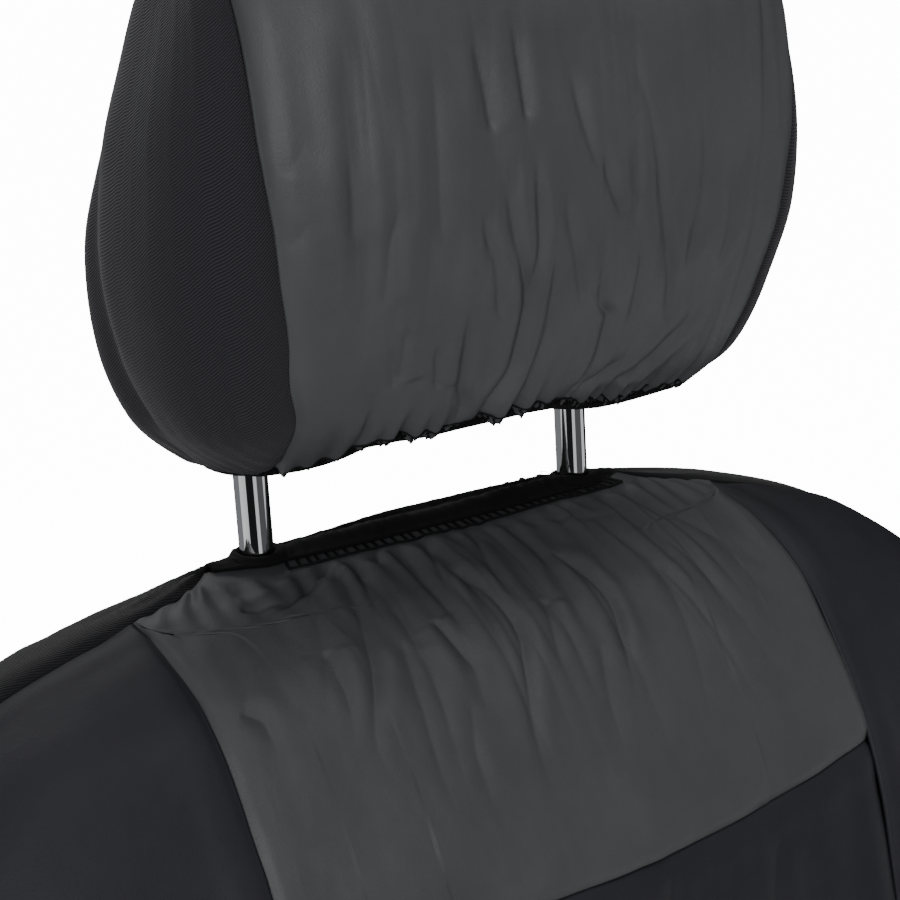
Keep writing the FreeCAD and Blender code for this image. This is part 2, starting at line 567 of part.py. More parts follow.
# elastic edge of the opening round the posts, and of the lower hem
el = body_solid(Body([(0.3, SLOT_X + 1.0, SLOT_F - 1.0, SLOT_B + 1.0, 0), (3.3, SLOT_X + 1.0, SLOT_F - 1.0, SLOT_B + 1.0, 0)], N_BACK), 0, 1, 0, 2)
el_i = body_solid(Body([(-2.0, SLOT_X - 2.2, SLOT_F + 2.2, SLOT_B - 2.2, 0), (6, SLOT_X - 2.2, SLOT_F + 2.2, SLOT_B - 2.2, 0)], N_BACK), 0, 1, 0, 2)
put("back_opening_elastic", solid_of(back(el.cut(el_i))))
hz = -566.4
ho = body_solid(Body([(hz - 7, 220.6, -232.6, -99.4, 0), (hz, 220.6, -232.6, -99.4, 0)], N_BACK), 0, 1, 0, 2)
hi = body_solid(Body([(hz - 9, 217.4, -229.4, -102.6, 0), (hz + 2, 217.4, -229.4, -102.6, 0)], N_BACK), 0, 1, 0, 2)
put("back_cover_hem_elastic", solid_of(back(ho.cut(hi))))

# rear pocket: flat envelope sewn on the fabric, standing 4 mm off it
pk0, pk1 = BB.s_of_z(-210), BB.s_of_z(-470)
put("rear_pocket", back(panel(BB, pk0, pk1, lambda s: BB.th_x(s, 165, False), lambda s: BB.th_x(s, -165, False), 2.0, 14, 12, -2.6)))

# ================================================================ head restraint
rod = tube_path([(-POST_X, 0, -165), (-POST_X, 0, 168), (-POST_X + 30, -34, 190), (POST_X - 30, -34, 190), (POST_X, 0, 168), (POST_X, 0, -165)], POST_R,
                [18, 14, 14, 18])
for k in range(5):
    rod = rod.cut(box(-POST_X - 7, -POST_X - 4.6, -7, 7, -15.0 + 24 - k * 14, -12.0 + 24 - k * 14)) if k > 1 else rod
put("head_posts", solid_of(posts_frame(rod)))
HB = Body(HEAD, N_HEAD)
foam = body_solid(HB, 0.03, 0.92, COVER_T + FOAM_GAP, 26)
fat = tube_path([(-POST_X, 0, 0), (-POST_X, 0, 168), (-POST_X + 30, -34, 190), (POST_X - 30, -34, 190), (POST_X, 0, 168), (POST_X, 0, 0)], POST_R + 0.6,
                [18, 14, 14, 18])
core_space = box(-62.5, 62.5, -30.6, -22.4, 70, 172)
foam = foam.cut(fat).cut(core_space)
put("head_foam", solid_of(posts_frame(foam)))
core = rounded(-62, 62, -30, -23, 70.5, 171.5, 12, "y")
for xx in (-30, 0, 30):
    core = core.cut(cyl(9, (xx, -40, 120), (0, 1, 0), 30))
put("head_core_plate", solid_of(posts_frame(core)))
# cover panels: leather front, fabric sides and rear
hs_x = pchip([r[0] for r in HEAD_SEAM], [r[1] for r in HEAD_SEAM])


def head_front(s):
    return HB.th_x(s, -min(hs_x(HB.z(s)), 0.93 * HB.a(s)))


def head_rear(s):
    z, a, f, b, bol = HB.ring(s)
    return HB.th_x(s, -0.80 * a, False) - 2 * math.pi


put("head_cover_front", posts_frame(panel(HB, 0, 1, head_front, mirror_th(head_front), COVER_T, 30, 18)))
put("head_cover_side_left", posts_frame(panel(HB, 0, 1, head_rear, head_front, COVER_T, 30, 12)))
put("head_cover_side_right", posts_frame(panel(HB, 0, 1, mirror_th(head_front), mirror_th(head_rear), COVER_T, 30, 12)))
put("head_cover_rear", posts_frame(panel(HB, 0, 1, lambda s: -math.pi - head_rear(s), lambda s: head_rear(s) + 2 * math.pi, COVER_T, 30, 16)))
ho = body_solid(Body([(HR_BOTTOM - 5.4, 82.6, -38.6, 26.6, 0), (HR_BOTTOM - 0.3, 82.6, -38.6, 26.6, 0)], N_HEAD), 0, 1, 0, 2)
hi = body_solid(Body([(HR_BOTTOM - 8, 79.4, -35.4, 23.4, 0), (HR_BOTTOM + 2, 79.4, -35.4, 23.4, 0)], N_HEAD), 0, 1, 0, 2)
put("head_cover_hem_elastic", solid_of(posts_frame(ho.cut(hi))))

for name, s in NODES.items():
    for x in s.Solids:
        if not x.isValid() or x.Volume <= 0:
            raise RuntimeError("bad solid in " + name)
    s.exportStep("parts/%s.step" % name)
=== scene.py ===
import bpy, math, json, mathutils
import numpy as np
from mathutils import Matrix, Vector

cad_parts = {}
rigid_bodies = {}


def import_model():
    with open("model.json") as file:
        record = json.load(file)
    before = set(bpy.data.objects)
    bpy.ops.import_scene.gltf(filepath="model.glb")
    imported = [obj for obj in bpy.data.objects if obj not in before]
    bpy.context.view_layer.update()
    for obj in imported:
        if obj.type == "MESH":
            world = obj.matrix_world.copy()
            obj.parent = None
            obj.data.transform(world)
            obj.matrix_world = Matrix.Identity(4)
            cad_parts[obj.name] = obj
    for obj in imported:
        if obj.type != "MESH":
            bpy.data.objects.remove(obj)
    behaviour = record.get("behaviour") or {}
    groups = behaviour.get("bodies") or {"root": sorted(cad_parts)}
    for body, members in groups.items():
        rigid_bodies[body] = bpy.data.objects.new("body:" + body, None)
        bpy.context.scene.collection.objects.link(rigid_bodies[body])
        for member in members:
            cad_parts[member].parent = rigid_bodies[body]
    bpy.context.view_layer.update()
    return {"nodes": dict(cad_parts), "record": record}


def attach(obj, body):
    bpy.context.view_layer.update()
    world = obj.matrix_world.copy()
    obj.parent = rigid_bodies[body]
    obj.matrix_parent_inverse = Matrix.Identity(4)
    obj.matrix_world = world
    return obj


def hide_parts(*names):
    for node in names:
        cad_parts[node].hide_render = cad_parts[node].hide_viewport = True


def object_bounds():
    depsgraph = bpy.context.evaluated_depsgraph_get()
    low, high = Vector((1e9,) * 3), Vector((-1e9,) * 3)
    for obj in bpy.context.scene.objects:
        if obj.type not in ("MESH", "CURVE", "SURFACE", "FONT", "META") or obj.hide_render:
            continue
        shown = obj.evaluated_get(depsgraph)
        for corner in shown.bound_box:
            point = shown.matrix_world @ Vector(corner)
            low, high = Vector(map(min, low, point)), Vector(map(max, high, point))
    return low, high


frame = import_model()
MM = 0.001
P0 = np.array([0.0, 470.0, 865.0])
LEAN = math.radians(5.7)

# ------------------------------------------------------------------ skins, the same rings as the CAD model (mm)
BACK = [(0.0, 90, -11.5, 12.5, 0), (-1.5, 97, -25, 14.5, 0), (-5, 118, -40, 17.0, 0), (-12, 150, -59, 24.7, 0),
        (-24, 186, -76.3, 30.5, 0), (-45, 216, -93.5, 29.6, 0), (-80, 243, -114.5, 27, 2), (-130, 257, -131, 19, 6),
        (-200, 264, -151, 2, 14), (-300, 265, -176, -24, 20), (-400, 262, -200, -50, 20), (-470, 250, -217, -69, 14),
        (-520, 229, -228, -84, 6), (-545, 222.5, -232, -91, 2), (-566, 221, -233, -99, 0)]
HEAD = [(32, 83, -39, 27, 0), (40, 94.6, -55.7, 31.0, 0), (56, 111.7, -76, 33, 0), (80, 121.8, -87.7, 34, 0),
        (110, 126, -97.8, 30.2, 0), (140, 123, -101.7, 22.3, 0), (170, 115, -101, 11, 0), (200, 104, -92, -2, 0),
        (218, 90, -80, -14, 0), (228, 74, -68, -26, 0), (233, 60, -58, -37, 0), (235, 48, -49, -46.4, 0)]
HEAD_SEAM = [(32, 75.0), (44, 80.5), (65, 90.9), (85, 95.6), (100, 99.2), (118, 101.8), (134, 104.0), (148, 104.8), (167, 104.8), (182, 104.5), (200, 99.0), (218, 87.0), (235, 46.0)]
RIDGE = [(-620, -185), (-12, -15.6), (-5, -13.0), (-1.5, -5.0), (0.0, 1.0)]
SEAM_X, SEAM_Z = 124.0, -86.0
CUSH = [(0, 238, -248, 222), (14, 244, -256, 226), (45, 248, -262, 228), (80, 249, -262, 228), (100, 246, -256, 225),
        (114, 238, -243, 218), (122, 224, -226, 206), (126, 200, -200, 184)]
CUSH_TILT, CUSH_Y, CUSH_Z, CUSH_SEAM_X = 6.0, -14.0, 190.0, 150.0


class Pchip:
    def __init__(self, xs, ys):
        x, y = np.array(xs, float), np.array(ys, float)
        h = np.diff(x)
        d = np.diff(y) / h
        m = np.zeros(len(x))
        m[0], m[-1] = d[0], d[-1]
        for i in range(1, len(x) - 1):
            if d[i - 1] * d[i] > 0:
                w1, w2 = 2 * h[i] + h[i - 1], h[i] + 2 * h[i - 1]
                m[i] = (w1 + w2) / (w1 / d[i - 1] + w2 / d[i])
        self.x, self.y, self.m, self.h = x, y, m, h

    def __call__(self, q):
        q = np.clip(q, self.x[0], self.x[-1])
        i = np.clip(np.searchsorted(self.x, q, side="right") - 1, 0, len(self.x) - 2)
        t = (q - self.x[i]) / self.h[i]
        return ((1 + 2 * t) * (1 - t) ** 2 * self.y[i] + t * (1 - t) ** 2 * self.h[i] * self.m[i]
                + t * t * (3 - 2 * t) * self.y[i + 1] + t * t * (t - 1) * self.h[i] * self.m[i + 1])


class Body:
    def __init__(self, rows, n):
        self.n = n
        ln = [0.0]
        for p, q in zip(rows, rows[1:]):
            ln.append(ln[-1] + math.sqrt((q[0] - p[0]) ** 2 + (0.5 * (q[1] - p[1])) ** 2 + (0.7 * (q[2] - p[2])) ** 2) + 1e-6)
        s = [v / ln[-1] for v in ln]
        self.z, self.a, self.f, self.b, self.bol = [Pchip(s, [r[k] for r in rows]) for k in range(5)]

    def at(self, s, th):
        a, f, b, bol = self.a(s), self.f(s), self.b(s), self.bol(s)
        c, w = np.cos(th), np.sin(th)
        r = (np.abs(c) ** self.n + np.abs(w) ** self.n) ** (-1.0 / self.n)
        yc, h = (f + b) / 2.0, (b - f) / 2.0
        x, y = a * r * c, h * r * w
        y = y - bol * np.exp(-((np.abs(x) / a - 0.76) / 0.17) ** 2) * np.clip(-y / (0.6 * h), 0, 1)
        return np.stack([x, yc + y, self.z(s) + 0 * x], -1)

    def normal(self, s, th):
        e, g = 1.5e-3, 3e-3
        s0, s1 = np.maximum(0.0, s - e), np.minimum(1.0, s + e)
        u = self.at(s1, th) - self.at(s0, th)
        v = self.at(s, th + g) - self.at(s, th - g)
        n = np.cross(v, u)
        n /= np.linalg.norm(n, axis=-1, keepdims=True) + 1e-12
        mid = np.stack([0 * s, (self.f(s) + self.b(s)) / 2.0, self.z(s) - 1.0], -1)
        flip = ((self.at(s, th) - mid) * n).sum(-1) < 0
        n[flip] *= -1
        return n

    def th_x(self, s, x, front=True):
        u = np.clip(x / self.a(s), -0.999, 0.999)
        v = (1 - np.abs(u) ** self.n) ** (1.0 / self.n)
        return np.arctan2(-v if front else v, u)

    def th_y(self, s, y, side):
        f, b = self.f(s), self.b(s)
        v = np.clip((y - (f + b) / 2.0) / ((b - f) / 2.0), -0.999, 0.999)
        u = (1 - np.abs(v) ** self.n) ** (1.0 / self.n)
        return np.arctan2(v, side * u)

    def s_of_z(self, z):
        lo, hi = 0.0, 1.0
        up = float(self.z(1.0)) > float(self.z(0.0))
        for _ in range(50):
            mid = (lo + hi) / 2.0
            if (float(self.z(mid)) < z) == up:
                lo = mid
            else:
                hi = mid
        return (lo + hi) / 2.0


BB, HB = Body(BACK, 3.2), Body(HEAD, 3.2)
ridge_y = Pchip([r[0] for r in RIDGE], [r[1] for r in RIDGE])
hs_x = Pchip([r[0] for r in HEAD_SEAM], [r[1] for r in HEAD_SEAM])


def unwrap(th):
    return np.where(th > math.pi / 2, th - 2 * math.pi, th)


def ridge_th(s):
    return unwrap(BB.th_y(s, ridge_y(BB.z(s)), -1))


def seam_th(s):
    r = ridge_th(s)
    x = BB.th_x(s, -SEAM_X)
    return np.where((BB.a(s) > SEAM_X * 1.001) & (x > r), x, r)


def head_front(s):
    return HB.th_x(s, -np.minimum(hs_x(HB.z(s)), 0.945 * HB.a(s)))


def head_rear(s):
    return HB.th_x(s, -0.80 * HB.a(s), False) - 2 * math.pi


def mirror_th(f):
    return lambda s: -math.pi - f(s)


# ------------------------------------------------------------------ frames
def lean_pts(p):
    c, w = math.cos(-LEAN), math.sin(-LEAN)
    return np.stack([p[..., 0], p[..., 1] * c - p[..., 2] * w, p[..., 1] * w + p[..., 2] * c], -1)


def to_back(p):
    return (p + P0) * MM


def to_head(p):
    return (lean_pts(p) + P0) * MM


def to_cush(p):
    t = math.radians(-CUSH_TILT)
    c, w = math.cos(t), math.sin(t)
    q = np.stack([p[..., 0], p[..., 1] * c - p[..., 2] * w, p[..., 1] * w + p[..., 2] * c], -1)
    return (q + np.array([0, CUSH_Y, CUSH_Z])) * MM


# ------------------------------------------------------------------ seeded smooth noise, vectorised
def make_noise(seed, n=64):
    rng = np.random.RandomState(seed)
    g = rng.rand(n, n) * 2 - 1

    def f(u, v):
        iu, iv = np.floor(u).astype(int), np.floor(v).astype(int)
        fu, fv = u - iu, v - iv
        fu, fv = fu * fu * (3 - 2 * fu), fv * fv * (3 - 2 * fv)
        a = g[iu % n, iv % n] * (1 - fu) + g[(iu + 1) % n, iv % n] * fu
        b = g[iu % n, (iv + 1) % n] * (1 - fu) + g[(iu + 1) % n, (iv + 1) % n] * fu
        return a * (1 - fv) + b * fv
    return f


N1, N2, N3, N4 = make_noise(1), make_noise(2), make_noise(3), make_noise(4)


def fbm(u, v):
    return N1(u, v) + 0.5 * N2(2.03 * u + 5, 2.03 * v + 9) + 0.25 * N3(4.1 * u + 11, 4.1 * v + 3)


# ------------------------------------------------------------------ creases
def seg_dist(P, A, B, side):
    """Signed distance from points to a segment, and how far along it."""
    d = B - A
    L2 = float((d * d).sum()) + 1e-9
    t = np.clip(((P - A) * d).sum(-1) / L2, 0, 1)
    r = P - (A + t[..., None] * d)
    dist = np.linalg.norm(r, axis=-1)
    sg = np.sign((r * side).sum(-1))
    return dist * sg, t


def crease_field(P, Nn, creases, t0=0.25, t1=0.25):
    """Sum of folds. A crease is (points, depth, width): points lie on the skin."""
    out = np.zeros(P.shape[:-1])
    for pts, amp, wid in creases:
        pts = np.array(pts, float)
        lo, hi = pts.min(0) - 5 * wid, pts.max(0) + 5 * wid
        m = np.all((P > lo) & (P < hi), -1)
        if not m.any():
            continue
        Q = P[m]
        nn = Nn[m]
        best = np.full(len(Q), 1e9)
        prog = np.zeros(len(Q))
        seg = np.linalg.norm(np.diff(pts, axis=0), axis=1)
        cum = np.concatenate([[0], np.cumsum(seg)])
        tot = cum[-1]
        for k in range(len(pts) - 1):
            side = np.cross(nn, (pts[k + 1] - pts[k]) / (seg[k] + 1e-9))
            d, t = seg_dist(Q, pts[k], pts[k + 1], side)
            b = np.abs(d) < np.abs(best)
            best[b] = d[b]
            prog[b] = ((cum[k] + t * seg[k]) / tot)[b]
        taper = np.clip(prog / t0, 0, 1) * np.clip((1 - prog) / t1, 0, 1)
        taper = taper * taper * (3 - 2 * taper)
        # outside the ends the distance itself closes the fold
        q = best / wid
        prof = -0.62 * np.exp(-np.abs(q) * 2.3) - 0.42 * np.exp(-(q * 1.2) ** 2) + 0.50 * np.exp(-((q - 1.9) / 1.25) ** 2) + 0.24 * np.exp(-((q + 1.9) / 1.2) ** 2)
        out[m] += amp * taper * prof
    return out


# ------------------------------------------------------------------ meshes
def new_mesh(name, verts, faces, uv=None, smooth=True):
    me = bpy.data.meshes.new(name)
    me.from_pydata([tuple(v) for v in verts], [], [tuple(int(i) for i in f) for f in faces])
    me.update()
    if smooth:
        me.polygons.foreach_set("use_smooth", [True] * len(me.polygons))
    if uv is not None:
        lay = me.uv_layers.new(name="UVMap")
        idx = np.zeros(len(me.loops), int)
        me.loops.foreach_get("vertex_index", idx)
        lay.data.foreach_set("uv", np.array(uv, float)[idx].ravel())
    ob = bpy.data.objects.new(name, me)
    bpy.context.scene.collection.objects.link(ob)
    return ob


def grid_faces(nr, nc):
    i, j = np.meshgrid(np.arange(nr - 1), np.arange(nc - 1), indexing="ij")
    a = i * nc + j
    return np.stack([a, a + 1, a + nc + 1, a + nc], -1).reshape(-1, 4)


def arc(P, axis):
    d = np.linalg.norm(np.diff(P, axis=axis), axis=-1)
    pad = np.zeros_like(np.take(d, [0], axis=axis))
    return np.concatenate([pad, np.cumsum(d, axis=axis)], axis=axis)


def even_rows(body, s0, s1, th, ns):
    """Values of s that space the rows evenly along the skin at angle th."""
    s = np.linspace(s0, s1, 900)
    P = body.at(s, np.full_like(s, th))
    L = np.concatenate([[0], np.cumsum(np.linalg.norm(np.diff(P, axis=0), axis=1))])
    return np.interp(np.linspace(0, L[-1], ns + 1), L, s)


def panel_grid(body, s0, s1, th0, th1, ns, nt, th_mid=-math.pi / 2):
    s = even_rows(body, s0, s1, th_mid, ns)
    a0, a1 = th0(s), th1(s)
    fine = np.linspace(0, 1, 4 * nt + 1)
    TH = a0[:, None] + (a1 - a0)[:, None] * fine[None]
    S = np.repeat(s[:, None], TH.shape[1], 1)
    P = body.at(S, TH)
    L = arc(P, 1)
    T2 = np.zeros((len(s), nt + 1))
    for i in range(len(s)):
        T2[i] = np.interp(np.linspace(0, L[i, -1] + 1e-9, nt + 1), L[i], TH[i])
    S = np.repeat(s[:, None], nt + 1, 1)
    return S, T2, body.at(S, T2), body.normal(S, T2)


def seam_pinch(d, depth=1.7, w=2.6, puff=0.9, pw=9.0):
    return -depth * np.exp(-(d / w) ** 2) + puff * np.exp(-((d - pw) / (0.62 * pw)) ** 2)


def finish_panel(name, P, Nn, D, frame_fn, mat, body, nodes, thick=2.4, uv=None, sub=0):
    Q = P + Nn * D[..., None]
    nr, nc = Q.shape[:2]
    faces = grid_faces(nr, nc)
    W = frame_fn(Q)
    n_avg = np.cross(W[1, 1] - W[0, 0], W[0, 1] - W[1, 0])
    # orient the faces outward
    i, j = nr // 2, nc // 2
    g = np.cross(Q[i, j + 1] - Q[i, j], Q[i + 1, j] - Q[i, j])
    if (g * Nn[i, j]).sum() < 0:
        faces = faces[:, ::-1]
    if uv is None:
        L1, L0 = arc(Q, 1), arc(Q, 0)
        uv = np.stack([(L1 - L1[:, nc // 2][:, None]) * MM, L0 * MM], -1)
    ob = new_mesh(name, W.reshape(-1, 3), faces, uv.reshape(-1, 2))
    ob.data.materials.append(mat)
    so = ob.modifiers.new("thickness", "SOLIDIFY")
    so.thickness = thick * MM
    so.offset = -1.0
    so.use_even_offset = False
    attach(ob, body)
    if nodes:
        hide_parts(*nodes)
    return ob, Q, W


def curve_obj(name, strands, radius, mat, body, frame_fn=None, res=1):
    cu = bpy.data.curves.new(name, "CURVE")
    cu.dimensions = "3D"
    cu.bevel_depth = radius * MM
    cu.bevel_resolution = res
    cu.use_fill_caps = True
    for st in strands:
        p = np.array(st, float)
        if frame_fn is not None:
            p = frame_fn(p)
        sp = cu.splines.new("POLY")
        sp.points.add(len(p) - 1)
        sp.points.foreach_set("co", np.concatenate([p, np.ones((len(p), 1))], 1).ravel())
        sp.use_smooth = True
    ob = bpy.data.objects.new(name, cu)
    bpy.context.scene.collection.objects.link(ob)
    ob.data.materials.append(mat)
    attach(ob, body)
    return ob


# ------------------------------------------------------------------ materials
def lin(hexcol):
    return tuple((int(hexcol[i:i + 2], 16) / 255.0) ** 2.2 for i in (1, 3, 5)) + (1.0,)


def base_mat(name, col, rough, metal=0.0, spec=0.5, sheen=0.0, sheen_rough=0.5, coat=0.0, coat_rough=0.2):
    m = bpy.data.materials.new(name)
    m.use_nodes = True
    nt = m.node_tree
    b = nt.nodes["Principled BSDF"]
    b.inputs["Base Color"].default_value = lin(col) if isinstance(col, str) else col
    b.inputs["Roughness"].default_value = rough
    b.inputs["Metallic"].default_value = metal
    b.inputs["Specular IOR Level"].default_value = spec
    b.inputs["Sheen Weight"].default_value = sheen
    b.inputs["Sheen Roughness"].default_value = sheen_rough
    b.inputs["Coat Weight"].default_value = coat
    b.inputs["Coat Roughness"].default_value = coat_rough
    m.diffuse_color = b.inputs["Base Color"].default_value
    return m, nt, b


def node(nt, kind, **kw):
    n = nt.nodes.new(kind)
    for k, v in kw.items():
        if k in n.inputs:
            n.inputs[k].default_value = v
        else:
            setattr(n, k, v)
    return n


def ramp(nt, lo, hi, c0, c1):
    r = nt.nodes.new("ShaderNodeValToRGB")
    r.color_ramp.elements[0].position, r.color_ramp.elements[1].position = lo, hi
    r.color_ramp.elements[0].color, r.color_ramp.elements[1].color = c0, c1
    return r


def leather(name, col, rough=0.5, grain=0.32, spec=0.4, mottle=0.12):
    m, nt, b = base_mat(name, col, rough, spec=spec)
    tc = node(nt, "ShaderNodeTexCoord")
    vo = node(nt, "ShaderNodeTexVoronoi", Scale=950.0)
    vo.feature = "DISTANCE_TO_EDGE"
    no = node(nt, "ShaderNodeTexNoise", Scale=2100.0, Detail=3.0)
    big = node(nt, "ShaderNodeTexNoise", Scale=26.0, Detail=5.0, Roughness=0.62)
    nt.links.new(tc.outputs["Object"], vo.inputs["Vector"])
    nt.links.new(tc.outputs["Object"], no.inputs["Vector"])
    nt.links.new(tc.outputs["Object"], big.inputs["Vector"])
    c = lin(col)
    rp = ramp(nt, 0.3, 0.72, tuple(v * (1 - mottle) for v in c[:3]) + (1,), tuple(v * (1 + mottle) for v in c[:3]) + (1,))
    nt.links.new(big.outputs["Fac"], rp.inputs["Fac"])
    nt.links.new(rp.outputs["Color"], b.inputs["Base Color"])
    b1 = node(nt, "ShaderNodeBump", Strength=grain, Distance=0.00025)
    b2 = node(nt, "ShaderNodeBump", Strength=grain * 0.8, Distance=0.0002)
    mid = node(nt, "ShaderNodeTexNoise", Scale=130.0, Detail=4.0, Roughness=0.6)
    nt.links.new(tc.outputs["Object"], mid.inputs["Vector"])
    b3 = node(nt, "ShaderNodeBump", Strength=0.25, Distance=0.0009)
    nt.links.new(vo.outputs["Distance"], b1.inputs["Height"])
    nt.links.new(no.outputs["Fac"], b2.inputs["Height"])
    nt.links.new(mid.outputs["Fac"], b3.inputs["Height"])
    nt.links.new(b3.outputs["Normal"], b1.inputs["Normal"])
    nt.links.new(b1.outputs["Normal"], b2.inputs["Normal"])
    nt.links.new(b2.outputs["Normal"], b.inputs["Normal"])
    return m


def twill(name, col, hi, pitch=1.25, angle=62.0, rough=0.85, strength=0.8):
    """Diagonal weave from the panel's own cloth coordinates, in metres."""
    m, nt, b = base_mat(name, col, rough, spec=0.16, sheen=0.08, sheen_rough=0.4)
    tc = node(nt, "ShaderNodeTexCoord")
    mp = node(nt, "ShaderNodeMapping")
    mp.inputs["Rotation"].default_value = (0, 0, math.radians(angle))
    mp.inputs["Scale"].default_value = (1000.0 / pitch, 1000.0 / pitch, 1.0)
    nt.links.new(tc.outputs["UV"], mp.inputs["Vector"])
    wv = node(nt, "ShaderNodeTexWave", Scale=0.3183, Distortion=0.6, Detail=1.0)
    wv.inputs["Detail Scale"].default_value = 2.0
    wv.wave_type, wv.bands_direction, wv.wave_profile = "BANDS", "X", "SIN"
    nt.links.new(mp.outputs["Vector"], wv.inputs["Vector"])
    # cross threads break the ribs up
    mp2 = node(nt, "ShaderNodeMapping")
    mp2.inputs["Scale"].default_value = (1000.0 / (pitch * 0.55), 1000.0 / (pitch * 0.55), 1.0)
    nt.links.new(tc.outputs["UV"], mp2.inputs["Vector"])
    w2 = node(nt, "ShaderNodeTexWave", Scale=0.3183, Distortion=0.3)
    w2.bands_direction = "Y"
    nt.links.new(mp2.outputs["Vector"], w2.inputs["Vector"])
    mul = node(nt, "ShaderNodeMath")
    mul.operation = "MULTIPLY_ADD"
    mul.inputs[1].default_value = 0.35
    nt.links.new(w2.outputs["Fac"], mul.inputs[0])
    nt.links.new(wv.outputs["Fac"], mul.inputs[2])
    bp = node(nt, "ShaderNodeBump", Strength=strength, Distance=0.0004)
    nt.links.new(mul.outputs[0], bp.inputs["Height"])
    nz = node(nt, "ShaderNodeTexNoise", Scale=900.0, Detail=2.0)
    nt.links.new(tc.outputs["Object"], nz.inputs["Vector"])
    bp2 = node(nt, "ShaderNodeBump", Strength=0.35, Distance=0.0003)
    nt.links.new(nz.outputs["Fac"], bp2.inputs["Height"])
    nt.links.new(bp2.outputs["Normal"], bp.inputs["Normal"])
    nt.links.new(bp.outputs["Normal"], b.inputs["Normal"])
    rp = ramp(nt, 0.1, 1.1, lin(col), lin(hi))
    nt.links.new(mul.outputs[0], rp.inputs["Fac"])
    nt.links.new(rp.outputs["Color"], b.inputs["Base Color"])
    return m


def noisy(name, col, rough, metal=0.0, scale=400.0, strength=0.2, dist=0.0002, spec=0.5, mottle=0.06, stretch=None, coat=0.0):
    m, nt, b = base_mat(name, col, rough, metal, spec, coat=coat)
    tc = node(nt, "ShaderNodeTexCoord")
    nz = node(nt, "ShaderNodeTexNoise", Scale=scale, Detail=4.0)
    if stretch:
        mp = node(nt, "ShaderNodeMapping")
        mp.inputs["Scale"].default_value = stretch
        nt.links.new(tc.outputs["Object"], mp.inputs["Vector"])
        nt.links.new(mp.outputs["Vector"], nz.inputs["Vector"])
    else:
        nt.links.new(tc.outputs["Object"], nz.inputs["Vector"])
    bp = node(nt, "ShaderNodeBump", Strength=strength, Distance=dist)
    nt.links.new(nz.outputs["Fac"], bp.inputs["Height"])
    nt.links.new(bp.outputs["Normal"], b.inputs["Normal"])
    c = lin(col)
    big = node(nt, "ShaderNodeTexNoise", Scale=30.0, Detail=4.0)
    nt.links.new(tc.outputs["Object"], big.inputs["Vector"])
    rp = ramp(nt, 0.3, 0.7, tuple(v * (1 - mottle) for v in c[:3]) + (1,), tuple(min(1, v * (1 + mottle)) for v in c[:3]) + (1,))
    nt.links.new(big.outputs["Fac"], rp.inputs["Fac"])
    nt.links.new(rp.outputs["Color"], b.inputs["Base Color"])
    return m


M_GREY = leather("grey_leather_look", "#434446", 0.50, 0.30, 0.30, 0.10)
M_BLACK = leather("black_leather_look", "#2a2a2f", 0.52, 0.26, 0.20, 0.12)
M_TWILL = twill("black_twill_look", "#1b1b1e", "#323136", 0.95, strength=0.55)
# rear panels: the weave angle and pitch are the cloth's own, but the darker colour is painted shade, darkened against
# the light falling from above
M_TWILL_REAR_SHADED = twill("black_twill_rear_painted_shade_look", "#121214", "#202023", 1.0, 28.0, strength=0.5)
M_PAD = twill("seat_own_cloth_look", "#141416", "#232326", 2.2, 45.0, strength=0.4)
M_THREAD = noisy("thread_look", "#070708", 0.75, scale=3000.0, strength=0.4, spec=0.3)
M_ELASTIC = noisy("elastic_look", "#0b0b0c", 0.85, scale=2200.0, strength=0.6, dist=0.0004, spec=0.25, stretch=(1, 1, 4))
M_FOAM = noisy("foam_look", "#c4b48c", 0.95, scale=700.0, strength=0.6, dist=0.0008, spec=0.2, mottle=0.1)
M_CHROME = base_mat("chrome_look", (0.82, 0.83, 0.85, 1), 0.045, 1.0)[0]
M_STEEL = noisy("coated_steel_look", "#161719", 0.42, scale=600.0, strength=0.12, spec=0.5)
M_ZINC = noisy("zinc_look", "#a2a5a9", 0.34, 0.95, scale=240.0, strength=0.10, stretch=(1, 0.06, 1))
M_PLASTIC = noisy("grained_plastic_look", "#1d1e20", 0.58, scale=1300.0, strength=0.35, dist=0.0003, spec=0.45)
M_NYLON = noisy("nylon_look", "#d9d4c4", 0.5, scale=500.0, strength=0.1)
M_WIRE = noisy("wire_look", "#54575b", 0.4, 0.9, scale=900.0, strength=0.1)

LOOK = {"grey_leather": M_GREY, "black_leather": M_BLACK, "black_twill": M_TWILL, "elastic_band": M_ELASTIC, "seat_foam": M_FOAM,
        "post_chrome": M_CHROME, "frame_steel": M_STEEL, "rail_steel": M_ZINC, "trim_plastic": M_PLASTIC, "glide_nylon": M_NYLON, "spring_steel": M_WIRE}
for sp in frame["record"]["subparts"]:
    ob = frame["nodes"].get(sp["node"])
    if ob is not None:
        for sl in ob.material_slots:
            sl.link = "OBJECT"
            sl.material = LOOK[sp["material_slot"]]

# ------------------------------------------------------------------ head restraint cover
rng = np.random.RandomState(7)


def skin_pt(body, x, z, front=True):
    s = np.array([body.s_of_z(z)])
    return body.at(s, body.th_x(s, x, front))[0]


def map_creases(body, lst):
    out = []
    for pts, amp, wid in lst:
        if body is HB and pts[-1][1] < 62:
            pts = list(pts) + [(pts[-1][0] * 0.97, 36)]
        # smooth the given line
        p = np.array([skin_pt(body, x, z) for x, z in pts])
        t = np.linspace(0, len(p) - 1, 4 * (len(p) - 1) + 1)
        q = np.stack([Pchip(np.arange(len(p)), p[:, k])(t) for k in range(3)], 1) if len(p) > 2 else np.array([p[0] + (p[1] - p[0]) * v for v in np.linspace(0, 1, 5)])
        out.append((q, amp, wid))
    return out
